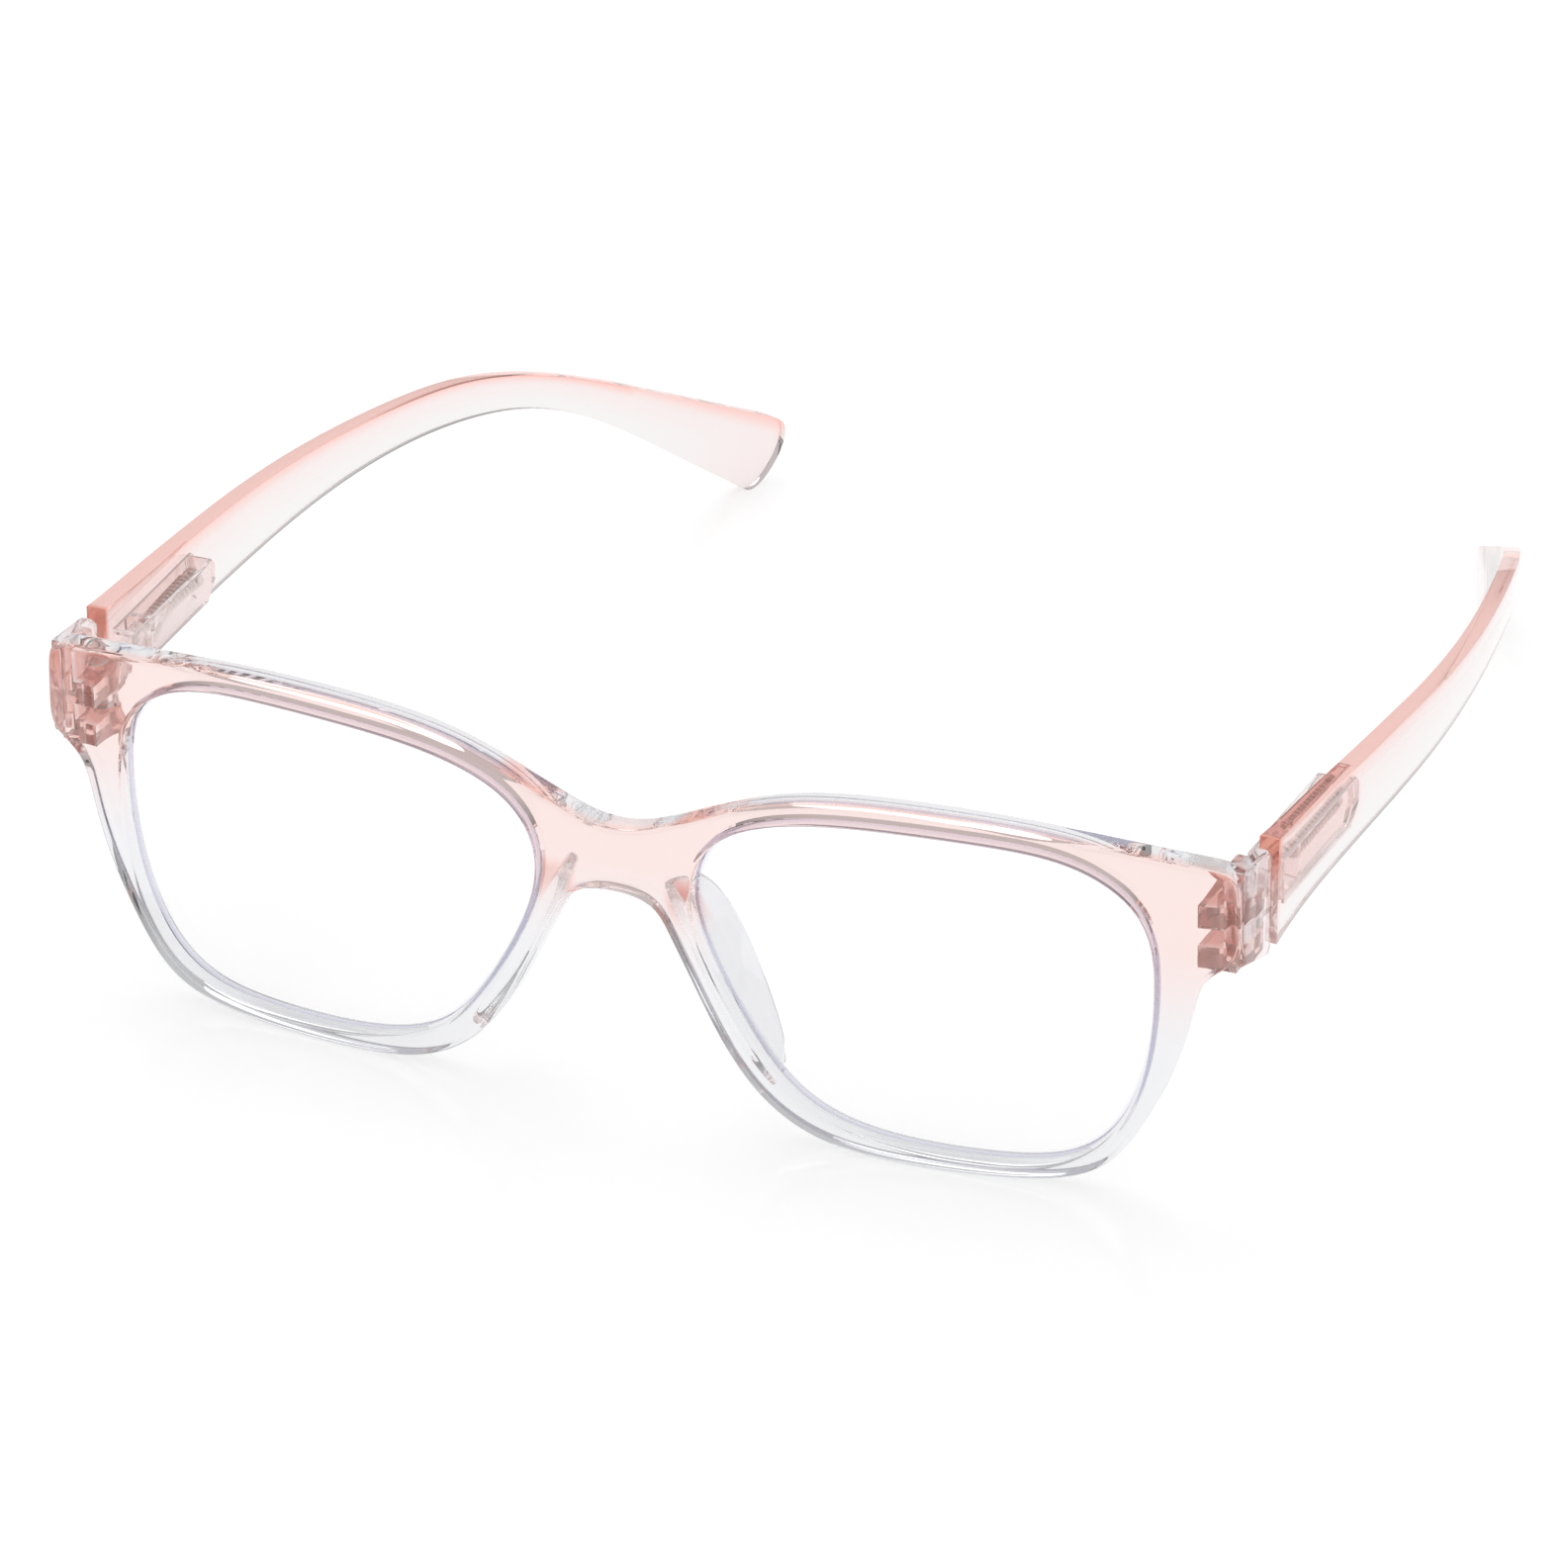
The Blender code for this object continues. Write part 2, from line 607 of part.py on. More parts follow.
def build_nut(side, hand, material, parent):
    name = f"spring_nut_{hand}"
    nut = add_object(name, new_mesh(rod_along_y(ROD_AXIS, NUT_RADIUS, *NUT_Y, side), name), material, parent)
    hole = rod_along_y(ROD_AXIS, ROD_RADIUS + NUT_GAP, NUT_Y[0] - 1 * MM, NUT_Y[1] + 1 * MM, side)
    tool = add_tool(f"nut_hole_{hand}", hole)
    tool.parent = parent
    boolean(nut, "DIFFERENCE", tool)


def build_spring(side, hand, material, parent):
    """A coil of round wire about the rod."""
    name = f"hinge_spring_{hand}"
    length = SPRING_Y[1] - SPRING_Y[0] - 2 * WIRE_RADIUS
    pitch = length / SPRING_TURNS
    rings = []
    for step in range(SPRING_TURNS * SPRING_STEPS + 1):
        angle = 2.0 * math.pi * step / SPRING_STEPS
        y = SPRING_Y[0] + WIRE_RADIUS + pitch * step / SPRING_STEPS
        ring = []
        for across, along in circle(WIRE_RADIUS, WIRE_SIDES):
            radius = SPRING_RADIUS + across
            ring.append((
                ROD_AXIS[0] + radius * math.cos(angle), y + along,
                ROD_AXIS[1] + radius * math.sin(angle),
            ))
        rings.append(ring)
    add_object(name, new_mesh(loft(rings, side), name), material, parent)


def add_root():
    root = bpy.data.objects.new(ROOT_NAME, None)
    bpy.context.scene.collection.objects.link(root)
    root.location.y = -MIDDLE_Y


def fold_axis(side, hand):
    """An empty on the hinge pin, turned with the temple, that carries all that folds."""
    empty = bpy.data.objects.new(f"fold_axis_{hand}", None)
    bpy.context.scene.collection.objects.link(empty)
    empty.parent = bpy.data.objects[ROOT_NAME]
    empty.location = (side * PIN.x, PIN.y, PIN.z)
    empty.rotation_euler = (0.0, 0.0, -side * TEMPLE_TURN)
    return empty


# Materials


def plastic(name, colour, roughness=0.08, transmission=0.0, metallic=0.0):
    material = bpy.data.materials.new(name)
    material.use_nodes = True
    shader = material.node_tree.nodes["Principled BSDF"]
    shader.inputs["Base Color"].default_value = (*colour, 1.0)
    shader.inputs["Roughness"].default_value = roughness
    shader.inputs["Metallic"].default_value = metallic
    shader.inputs["Transmission Weight"].default_value = transmission
    return material


def main():
    clear_scene()
    add_root()
    build_front(plastic("front_plastic", (0.95, 0.72, 0.68), transmission=0.9))
    temple_plastic = plastic("temple_plastic", (0.93, 0.66, 0.60), transmission=0.9)
    clear_plastic = plastic("clear_plastic", (0.95, 0.95, 0.96), transmission=0.95)
    lens_plastic = plastic("lens_plastic", (0.93, 0.93, 0.97), roughness=0.02, transmission=1.0)
    steel = plastic("steel", (0.62, 0.61, 0.60), roughness=0.3, metallic=1.0)
    for side, hand in ((1, "right"), (-1, "left")):
        name = f"lens_{hand}"
        add_object(name, lens_mesh(side, name), lens_plastic)
        build_screw(side, hand, steel)
        axis = fold_axis(side, hand)
        build_temple(side, hand, temple_plastic, axis)
        build_cover(side, hand, clear_plastic, axis)
        build_slide(side, hand, clear_plastic, axis)
        build_nut(side, hand, steel, axis)
        build_spring(side, hand, steel, axis)


main()
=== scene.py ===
"""The look of the glasses: smooth dyed plastic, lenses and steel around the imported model.

Metres, +Z up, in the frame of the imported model. Right means +X, as seen from in front of
the glasses. Shapes are written with y = 0 at the bridge and then moved by MIDDLE_Y.
A face coordinate (u, w) runs across and up the bent, tilted front, and depth goes back
from its front skin along the local normal. A hinge coordinate (x, y, z) is measured from
the middle of the hinge pin, with y along the temple and x outwards.
"""

import json
import math

import bmesh
import bpy
import numpy as np
from mathutils import Matrix, Vector
from mathutils.geometry import delaunay_2d_cdt

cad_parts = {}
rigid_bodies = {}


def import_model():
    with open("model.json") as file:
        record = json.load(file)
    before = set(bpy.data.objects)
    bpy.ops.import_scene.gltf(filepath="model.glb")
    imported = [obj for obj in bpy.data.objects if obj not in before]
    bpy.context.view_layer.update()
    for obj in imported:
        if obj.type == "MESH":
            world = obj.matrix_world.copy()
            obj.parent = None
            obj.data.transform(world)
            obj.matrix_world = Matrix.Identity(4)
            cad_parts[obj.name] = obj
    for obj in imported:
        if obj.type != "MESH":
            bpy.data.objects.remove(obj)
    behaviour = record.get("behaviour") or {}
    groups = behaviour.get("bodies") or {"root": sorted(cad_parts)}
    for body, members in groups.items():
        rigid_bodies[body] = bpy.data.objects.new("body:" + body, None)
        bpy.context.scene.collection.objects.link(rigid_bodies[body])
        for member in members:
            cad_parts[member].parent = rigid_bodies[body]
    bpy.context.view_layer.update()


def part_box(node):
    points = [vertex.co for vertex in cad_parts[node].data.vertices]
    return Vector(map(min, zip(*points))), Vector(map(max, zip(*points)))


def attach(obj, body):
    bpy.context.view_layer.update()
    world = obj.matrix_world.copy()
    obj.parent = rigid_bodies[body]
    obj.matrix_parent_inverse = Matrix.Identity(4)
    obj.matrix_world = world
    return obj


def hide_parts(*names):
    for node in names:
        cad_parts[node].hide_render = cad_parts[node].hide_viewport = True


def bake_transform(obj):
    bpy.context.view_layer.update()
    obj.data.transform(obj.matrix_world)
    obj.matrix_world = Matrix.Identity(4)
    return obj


for leftover in list(bpy.data.objects):
    bpy.data.objects.remove(leftover, do_unlink=True)
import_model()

MM = 0.001
MIDDLE_Y = 76.575 * MM  # from the bridge back to the middle of the open glasses

# Front: the skin bends back at y = FACE_BEND u^2 and twists a little towards the ends
FACE_BEND = 1.5
FACE_CREASE = 0.031  # slope of each half away from the bridge
CREASE_SOFT = 8.0 * MM
FACE_TILT = math.radians(1.56)  # the top leans forwards
FACE_TWIST = 0.257
TWIST_LEVEL = 22.0 * MM
FRONT_DEPTH = 3.6 * MM
EDGE_ROUND = 0.7 * MM
APERTURE_ROUND = 0.45 * MM
LOOP_STEP = 0.9 * MM
SKIN_STEP = 2.0 * MM
SKIN_CLEARANCE = 0.6  # skin points nearer to an edge than this share of a step are left out

# Right half of the outline as (u, w): along the top edge, down the end piece, round the rim.
TOP_EDGE = [(0, 35.1), (8, 37.5), (18, 41.6), (30, 43.6), (45, 43.7), (58, 42.7), (68.9, 41.7)]
END_CORNER = [(69.65, 41.4), (69.95, 40.8), (70.05, 39.5), (70.3, 32.6)]
LOWER_EDGE = [
    (70.3, 32.6), (69.7, 30.7), (67.6, 29.2), (65.9, 27.0), (64.8, 22.2), (63.0, 16.1),
    (59.8, 9.2), (55.3, 3.3), (47.8, 0.7), (36.7, 0.0), (26.0, 0.7), (19.1, 3.6),
    (14.7, 8.0), (11.3, 13.6), (8.0, 20.3), (5.4, 25.6),
]
BRIDGE_UNDER = [(4.6, 26.5), (3.3, 27.0), (1.7, 27.3), (0, 27.4)]
# Right lens opening as (u, w), once round.
APERTURE = [
    (59.4, 34.9), (52.3, 40.0), (42.5, 41.1), (32.0, 40.9), (21.5, 39.8), (12.6, 36.2),
    (9.1, 29.0), (11.4, 20.4), (15.8, 12.4), (21.6, 5.6), (30.5, 2.4), (42.0, 2.0),
    (52.0, 3.8), (57.6, 9.6), (60.2, 17.5), (61.0, 26.5),
]

# Lens and its groove, as depths behind the front skin
LENS_FRONT = 1.85 * MM
LENS_BACK = 2.95 * MM
LENS_DOME = 1.1 * MM
LENS_REACH = 0.55 * MM  # how far the lens goes past the opening, into the groove
LENS_GAP = 0.12 * MM

# Nose pads, moulded on the back of the inner rims
PAD_LINE = [(5.6, 28.8), (7.9, 24.2), (10.5, 18.6), (13.7, 12.2), (17.9, 6.0)]
PAD_THICKNESS = 2.0 * MM
PAD_REACH = 6.5 * MM
PAD_SPLAY = math.radians(10)
PAD_ROOT = 0.45 * MM  # how far the blade starts inside the back of the rim
PAD_END_SINK = 0.6 * MM  # how far its two ends run out under the back of the rim
PAD_FULLNESS = 0.4  # below 1 makes the blade full along its length and blunt at its ends
PAD_END_SHARE = 0.001
PAD_END_THICKNESS = 0.15  # as a share of the full thickness
PAD_RINGS = 61
PAD_EDGE_STEPS = 9  # points round the back edge of the blade

# Hinge, with the pin upright
PIN = Vector((66.7 * MM, 12.4 * MM, 32.6 * MM))
TEMPLE_TURN = math.radians(1.5)  # the temples open slightly outwards
LUG_RADIUS = 2.0 * MM
UPPER_LUG = (1.1 * MM, 3.8 * MM)
LOWER_LUG = (-3.7 * MM, -1.1 * MM)
EYE_RADIUS = 1.9 * MM
EYE_HALF = 0.9 * MM
PIN_RADIUS = 0.7 * MM
BORE_RADIUS = 0.82 * MM
HEAD_RADIUS = 1.25 * MM
HEAD_HEIGHT = 0.8 * MM
HEAD_GAP = 0.15 * MM
HEAD_DEPTH = 0.1 * MM  # how far the head lies below the top of the upper lug
HEAD_CHAMFER = 0.25 * MM
SCREW_CHAMFER = 0.2 * MM
SCREW_FOOT = 0.3 * MM
SLOT_REACH = 1.2  # as a share of the head's radius
SLOT_WIDTH = 0.4 * MM
SLOT_DEPTH = 0.5 * MM

# End pieces, which wrap back round the hinge
END_INNER = 67.4 * MM
END_OUTER = 70.15 * MM
END_BACK = 10.1 * MM
WALL_INNER = 68.95 * MM
WALL_BACK = 14.2 * MM
# Side view of an end piece as (y, z)
END_PROFILE = [(5.4, 41.2), (12.6, 40.7), (14.2, 39.3), (14.2, 28.3), (13.4, 27.5), (5.4, 30.0)]
HINGE_SPACE_Z = (20 * MM, 50 * MM)  # past the end piece above and below
LUG_OVERLAP = 0.3 * MM
LUG_ROOT_Y = 6.0 * MM  # inside the back of the rim
END_ROUND = 0.35 * MM

# Temple: plan line of the outer face (y, x), top edge and bottom edge (y, z)
TEMPLE_PLAN = [
    (14.9, 70.5), (20, 70.7), (30, 71.0), (60, 71.5), (85, 69.7), (105, 66.0), (122, 60.8),
    (138, 54.1), (154.4, 47.0),
]
TEMPLE_TOP = [
    (14.9, 40.8), (20, 40.3), (30, 39.6), (45, 38.4), (60, 37.0), (85, 34.1), (105, 30.8),
    (122, 24.7), (138, 16.5), (150.8, 9.6),
]
TEMPLE_BOTTOM = [
    (14.9, 28.2), (20, 29.1), (30, 29.7), (45, 29.6), (60, 29.2), (85, 28.5), (105, 26.0),
    (122, 20.0), (138, 8.4), (147.1, 1.2),
]
TEMPLE_TIP = [(153.4, 8.0), (154.3, 6.2), (153.5, 3.7), (151.4, 1.2), (149.0, 0.05)]
TEMPLE_FRONT_THICKNESS = 2.25 * MM
TEMPLE_THICKNESS = 2.0 * MM
TEMPLE_ROUND = 0.45 * MM
TEMPLE_TAPER = (30.0 * MM, 60.0 * MM)  # where the thickness changes, in y

# Spring box on the inner side of the temple, in hinge coordinates
BOX_SIDE = [(5.3, 4.4), (25.6, 4.4), (26.4, 3.6), (26.4, 1.6), (24.2, -0.6), (5.3, -0.6)]
BOX_INNER = -1.0 * MM
BOX_OUTER = 2.35 * MM
BOX_WALL = 0.6 * MM
BOX_ROUND = 0.3 * MM
POCKET_FLOOR = 2.6 * MM
POCKET_GAP = 0.15 * MM
BULKHEAD = (9.6 * MM, 10.4 * MM)
CAVITY_START = 4.0 * MM
CAVITY_SLOPE_Y = 23.7 * MM  # where the floor turns up behind the spring
CAVITY_SLOPE_RISE = 1.8 * MM
CAVITY_END = 25.5 * MM
ROD_AXIS = (0.95 * MM, 2.2 * MM)  # x and z
ROD_RADIUS = 0.42 * MM
ROD_GAP = 0.15 * MM
ROD_OVERLAP = 0.5 * MM  # how far the rod starts inside the guide block
ROD_END = 24.5 * MM
GUIDE_X = (-0.2 * MM, 1.1 * MM)
GUIDE_Z = (0.25 * MM, 3.5 * MM)
GUIDE_Y = (2.6 * MM, 9.3 * MM)
NECK_X = (-0.7 * MM, 1.1 * MM)
NECK_Y = (0.9 * MM, 4.6 * MM)
NUT_Y = (23.2 * MM, 24.3 * MM)
NUT_RADIUS = 0.92 * MM
NUT_GAP = 0.08 * MM
NUT_ROUND = 0.12 * MM
SPRING_Y = (10.55 * MM, 23.05 * MM)
SPRING_RADIUS = 0.82 * MM
WIRE_RADIUS = 0.17 * MM
SPRING_TURNS = 14
SPRING_STEPS = 24  # rings in each turn
WIRE_SIDES = 10

# How finely the shapes are drawn
EDGE_ANGLES = (0, 18, 36, 54, 72, 90)  # over a rounded edge, in degrees
TOP_STEPS = 60  # points between two knots, here and in the next five
LOWER_STEPS = 40
APERTURE_STEPS = 60
PAD_STEPS = 40
TEMPLE_STEPS = 10
PLAN_STEPS = 12
LENS_RINGS = 16
LENS_RING_STEP = 0.064  # how much smaller each ring is, as a share of the lens's edge
ROUND_SEGMENTS = 48
SMOOTH_ANGLE = math.radians(38)
PAST = 1.0 * MM  # how far a cutting shape goes past what it cuts
EXTENT_TOLERANCE = 0.5 * MM

# Plastic of the front. A pair of numbers is where a fade starts and where it ends.
CLEAR = (0.87, 0.875, 0.895, 1)
FRONT_DYE = (1.0, 0.68, 0.62, 1)
DYE_HEIGHT = (17 * MM, 34 * MM)
DYE_LAYER = (0.6 * MM, 1.9 * MM)  # depth at which the dyed front layer ends
# Deeper dye in the lugs, the end pieces and the tops of the nose pads
DEEP_DYE = (1.0, 0.52, 0.44, 1)
DEEP_HEIGHT = (17 * MM, 26 * MM)
HINGE_DEPTH = (FRONT_DEPTH + 0.2 * MM, FRONT_DEPTH + 1.2 * MM)
END_ACROSS = (62 * MM, 64 * MM)
END_DYE = 0.8
WALL_ACROSS = (68.2 * MM, 69.0 * MM)
WALL_DYE = 0.2
PAD_DYE = 0.7
PAD_DEPTH_START = (3.0 * MM, 3.7 * MM)
PAD_DEPTH_END = (4.8 * MM, 6.2 * MM)
PAD_ACROSS_START = (4.8 * MM, 6.2 * MM)
PAD_ACROSS_END = (14 * MM, 18 * MM)
PAD_HEIGHT_START = (21.5 * MM, 26.5 * MM)
PAD_HEIGHT_END = (27.5 * MM, 29.8 * MM)
MATT = 0.4  # how much of the deepest dye scatters light
# Strong dye in streaks in the top edge and at the front ends of the temples
STRONG_DYE = (1.0, 0.27, 0.18, 1)
STREAK_DYE = 0.85
STREAK_START = (6.0 * MM, 8.5 * MM)
STREAK_END = (12.5 * MM, 17.0 * MM)
STREAK_FACING = (0.5, 0.85)  # of the upward part of the surface's normal
STREAK_SCALE = 120.0
STREAK_DETAIL = 1.0
STREAK_NOISE = (0.3, 0.6)

# Attribute of a point: in a temple the height between its bottom and top edge, and in a
# lens the way from its middle to its edge, both from 0 to 1
LEVEL = "level"

# Plastic of the temples, with fades by level and by y
TEMPLE_CLEAR = (0.88, 0.855, 0.855, 1)
TEMPLE_DYE = (1.0, 0.44, 0.37, 1)
EDGE_LEVEL = (0.93, 0.985)
BLEED_LEVEL = (0.72, 0.97)
BLEED_SHARE = 0.5
TINT_LEVEL = (0.1, 0.8)
TINT_SHARE = 0.12
FRONT_END_Y = (-61.5 * MM, -60.5 * MM)
FRONT_END_LEVEL = (0.5, 0.85)
FRONT_END_LEAST = 0.25
TIP_Y = (55 * MM, 77 * MM)
TIP_SHARE = 0.14
POCKET_Y = (-39 * MM, -36 * MM)
POCKET_LEVEL = (0.15, 0.5)
POCKET_SHARE = 0.3

# Spring boxes and slides, lenses and steel
BOX_CLEAR = (0.97, 0.91, 0.90, 1)
BOX_CLOUD = (0.95, 0.88, 0.87, 1)
BOX_CLOUD_SCALE = 260.0
LENS_CLEAR = (1.0, 0.995, 1.0, 1)
LENS_CLOUD = (0.99, 0.99, 1.0, 1)
LENS_CLOUD_SCALE = 25.0
# Painted shade: a darker lavender grey painted on the edge of the lens, where it sits in the
# groove
LENS_EDGE_SHADE = (0.66, 0.65, 0.78, 1)
LENS_SHADE_LEVEL = (0.955, 0.995)
LENS_SHEEN = (0.75, 0.72, 1.0, 1)
LENS_IOR = 1.35  # lower than the plastic's, as for a lens with an anti-reflective coating
PLASTIC_IOR = 1.49
FRONT_ROUGHNESS = 0.02
TEMPLE_ROUGHNESS = 0.03
BOX_ROUGHNESS = 0.03
# Faint unevenness of moulded surfaces, as noise scale and height
FRONT_BUMP = (220.0, 0.04 * MM)
TEMPLE_BUMP = (200.0, 0.04 * MM)
BOX_BUMP = (300.0, 0.03 * MM)
BUMP_DETAIL = 2.0
BUMP_STRENGTH = 0.3
STEEL_DARK = (0.66, 0.6, 0.58, 1)
STEEL_BRIGHT = (0.82, 0.78, 0.76, 1)
STEEL_GRAIN_SCALE = 900.0
STEEL_ROUGHNESS = 0.2
STEEL_ROUGHNESS_GRAIN = 0.15

# Camera
CAMERA_AZIMUTH, CAMERA_ELEVATION = math.radians(23.04), math.radians(27.66)
CAMERA_DISTANCE = 1.08517
CAMERA_TARGET = (-0.00562, -0.016575, 0.01011)
CAMERA_CLIP = (0.05, 20.0)
FOCAL_LENGTH = 218.77  # in millimetres, as is the sensor's width
SENSOR_WIDTH = 36.0

# Floor and light
FLOOR_REACH = 6.0  # from its middle to its edge, in metres
FLOOR_GAP = 0.05 * MM  # below the object
FLOOR_COLOUR = (0.62, 0.62, 0.62, 1)
FLOOR_ROUGHNESS = 0.14
FLOOR_GLOW = 0.62
SKY = 0.58
SKY_FULL = 0.45  # how far above the horizon the sky reaches its full brightness
HORIZON = 0.5  # brightness of the horizon, as a share of the sky's
LIGHT_PLACE = (-0.5, 0.4, 1.6)
LIGHT_SIZE = 1.2
LIGHT_POWER = 4.0
FLAG_DISTANCE, FLAG_HEIGHT = 0.5, 0.12
FLAG_SIZE = (0.7, 0.05)
FLAG_SHADE = (0.04, 0.04, 0.04, 1)
FLAG_ROUGHNESS = 0.8
BOUNCES = 64  # light is reflected many times inside the clear edges


# Curves and loops


def spline(points, per_span, closed=False):
    """Points along a smooth cubic curve through the given points."""
    knots = np.asarray(points, float)
    count = len(knots)
    system = 4.0 * np.eye(count)
    bends = 6.0 * (np.roll(knots, -1, 0) - 2 * knots + np.roll(knots, 1, 0))
    for i in range(count):
        system[i, i - 1] += 1.0
        system[i, (i + 1) % count] += 1.0
    if not closed:
        for end in (0, count - 1):
            system[end] = 0.0
            system[end, end] = 1.0
            bends[end] = 0.0
    second = np.linalg.solve(system, bends)
    found = []
    for i in range(count if closed else count - 1):
        j = (i + 1) % count
        for t in np.arange(per_span) / per_span:
            s = 1.0 - t
            curve = ((s**3 - s) * second[i] + (t**3 - t) * second[j]) / 6.0
            found.append(s * knots[i] + t * knots[j] + curve)
    if not closed:
        found.append(knots[-1])
    return np.array(found)


def resampled(loop, step):
    """A closed loop with its points about one step apart."""
    ring = np.vstack([loop, loop[:1]])
    along = np.concatenate([[0.0], np.cumsum(np.linalg.norm(np.diff(ring, axis=0), axis=1))])
    count = int(round(along[-1] / step))
    places = np.arange(count) * along[-1] / count
    return np.stack([np.interp(places, along, ring[:, axis]) for axis in range(2)], 1)


def smoothed(loop, rounds=3):
    """The loop with the small kinks between its curves taken out."""
    for _ in range(rounds):
        loop = 0.5 * loop + 0.25 * (np.roll(loop, 1, 0) + np.roll(loop, -1, 0))
    return loop


def offset_loop(loop, distance):
    """The counter-clockwise loop moved outwards by the distance, inwards if negative."""
    tangent = np.roll(loop, -1, 0) - np.roll(loop, 1, 0)
    normal = np.stack([tangent[:, 1], -tangent[:, 0]], 1)
    return loop + distance * normal / np.linalg.norm(normal, axis=1)[:, None]


def front_outline():
    """The whole outer edge of the front, counter-clockwise, as (u, w)."""
    mirrored_start = [(-TOP_EDGE[1][0], TOP_EDGE[1][1])] + TOP_EDGE
    top = spline(mirrored_start, TOP_STEPS)[TOP_STEPS:]
    low = spline(LOWER_EDGE, LOWER_STEPS)
    right = np.vstack([top, END_CORNER[:-1], low, BRIDGE_UNDER])[::-1]
    left = right[::-1][1:-1] * (-1, 1)
    loop = np.vstack([right, left]) * MM
    return smoothed(resampled(loop, LOOP_STEP))


def aperture_outline():
    """The right lens opening, counter-clockwise, as (u, w)."""
    fine = spline(APERTURE, APERTURE_STEPS, closed=True) * MM
    return smoothed(resampled(fine, LOOP_STEP))


def skin_point(u, w):
    """The place of a face coordinate on the front skin."""
    crease = math.hypot(u, CREASE_SOFT) - CREASE_SOFT
    twist = FACE_TWIST * abs(u) * (w - TWIST_LEVEL)
    y = FACE_BEND * u * u - FACE_CREASE * crease - w * math.sin(FACE_TILT) - twist
    return Vector((u, y, w * math.cos(FACE_TILT)))


def on_face(u, w, depth):
    """The place of a face coordinate at a depth behind the front skin."""
    step = 0.1 * MM
    across = skin_point(u + step, w) - skin_point(u - step, w)
    up = skin_point(u, w + step) - skin_point(u, w - step)
    return skin_point(u, w) + depth * up.cross(across).normalized()


# Meshes


def new_mesh(bm, name):
    bmesh.ops.recalc_face_normals(bm, faces=bm.faces)
    mesh = bpy.data.meshes.new(name)
    bm.to_mesh(mesh)
    bm.free()
    if sum(polygon_volume(mesh, polygon) for polygon in mesh.polygons) < 0:
        mesh.flip_normals()
    return mesh


def polygon_volume(mesh, polygon):
    """Six times the signed volume between the origin and a polygon."""
    corners = [mesh.vertices[i].co for i in polygon.vertices]
    fan = zip(corners[1:-1], corners[2:])
    return sum(corners[0].dot(a.cross(b)) for a, b in fan)


TOOLS = []  # cutting and joining shapes of the piece that is being made


def add_object(name, mesh, place=None):
    obj = bpy.data.objects.new(name, mesh)
    bpy.context.scene.collection.objects.link(obj)
    obj.matrix_world = Matrix.Translation((0, -MIDDLE_Y, 0)) @ (place or Matrix.Identity(4))
    return obj


def add_tool(name, bm, place=None, rounding=0.0):
    tool = add_object(name, new_mesh(bm, name), place)
    if rounding:
        soften(tool, rounding, segments=3, angle=30)
    TOOLS.append(tool)
    return tool


def soften(obj, width, segments, angle):
    """Rounds the edges that turn by more than an angle in degrees."""
    modifier = obj.modifiers.new("rounding", "BEVEL")
    modifier.width = width
    modifier.segments = segments
    modifier.limit_method = "ANGLE"
    modifier.angle_limit = math.radians(angle)


def boolean(obj, operation, tool):
    modifier = obj.modifiers.new(f"{operation.lower()}_{tool.name}", "BOOLEAN")
    modifier.operation = operation
    modifier.solver = "EXACT"
    modifier.object = tool


def settle(obj, material, body, node):
    """Applies the modifiers and the place, and makes obj stand for its node.

    A piece with no body is left unattached.
    """
    graph = bpy.context.evaluated_depsgraph_get()
    mesh = bpy.data.meshes.new_from_object(obj.evaluated_get(graph))
    mesh.transform(obj.matrix_world)
    obj.modifiers.clear()
    obj.data = mesh
    obj.matrix_world = Matrix.Identity(4)
    while TOOLS:
        bpy.data.objects.remove(TOOLS.pop(), do_unlink=True)
    mesh.materials.clear()
    mesh.materials.append(material)
    mesh.shade_smooth()
    mesh.set_sharp_from_angle(angle=SMOOTH_ANGLE)
    check_extent(obj, node)
    if body:
        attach(obj, body)
    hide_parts(node)


def check_extent(obj, node):
    """Stops the script if a piece doesn't fill its node's box, as after a failed boolean."""
    places = np.array([v.co for v in obj.data.vertices])
    for found, wanted in zip((places.min(0), places.max(0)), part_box(node)):
        if np.abs(found - np.array(wanted)).max() > EXTENT_TOLERANCE:
            raise RuntimeError(f"{obj.name} doesn't fill the box of {node}")


def bridge_rings(bm, rings):
    """Quads between each ring of vertices and the next."""
    for first, second in zip(rings[:-1], rings[1:]):
        for i in range(len(first)):
            j = (i + 1) % len(first)
            bm.faces.new((first[i], first[j], second[j], second[i]))


def loft(rings, side=1):
    """A closed solid through rings of points, with a flat cap at each end."""
    bm = bmesh.new()
    verts = [[bm.verts.new((side * p[0], p[1], p[2])) for p in ring] for ring in rings]
    bridge_rings(bm, verts)
    bm.faces.new(verts[0])
    bm.faces.new(verts[-1])
    return bm


def prism_x(outline, low, high, side=1):
    """An outline of (y, z) points pulled along x from low to high."""
    return loft([[(x, y, z) for y, z in outline] for x in (low, high)], side)


def box(x_range, y_range, z_range, side=1):
    y0, y1 = y_range
    z0, z1 = z_range
    return prism_x([(y0, z0), (y1, z0), (y1, z1), (y0, z1)], *x_range, side)


def circle(radius, count=ROUND_SEGMENTS):
    angles = [2.0 * math.pi * i / count for i in range(count)]
    return [(radius * math.cos(a), radius * math.sin(a)) for a in angles]


def upright_cylinder(centre, radius, low, high, side=1):
    x0, y0 = centre
    ring = [(x0 + x, y0 + y) for x, y in circle(radius)]
    return loft([[(x, y, z) for x, y in ring] for z in (low, high)], side)


def rod_along_y(centre, radius, low, high, side=1):
    x0, z0 = centre
    ring = [(x0 + x, z0 + z) for x, z in circle(radius)]
    return loft([[(x, y, z) for x, z in ring] for y in (low, high)], side)


# Front


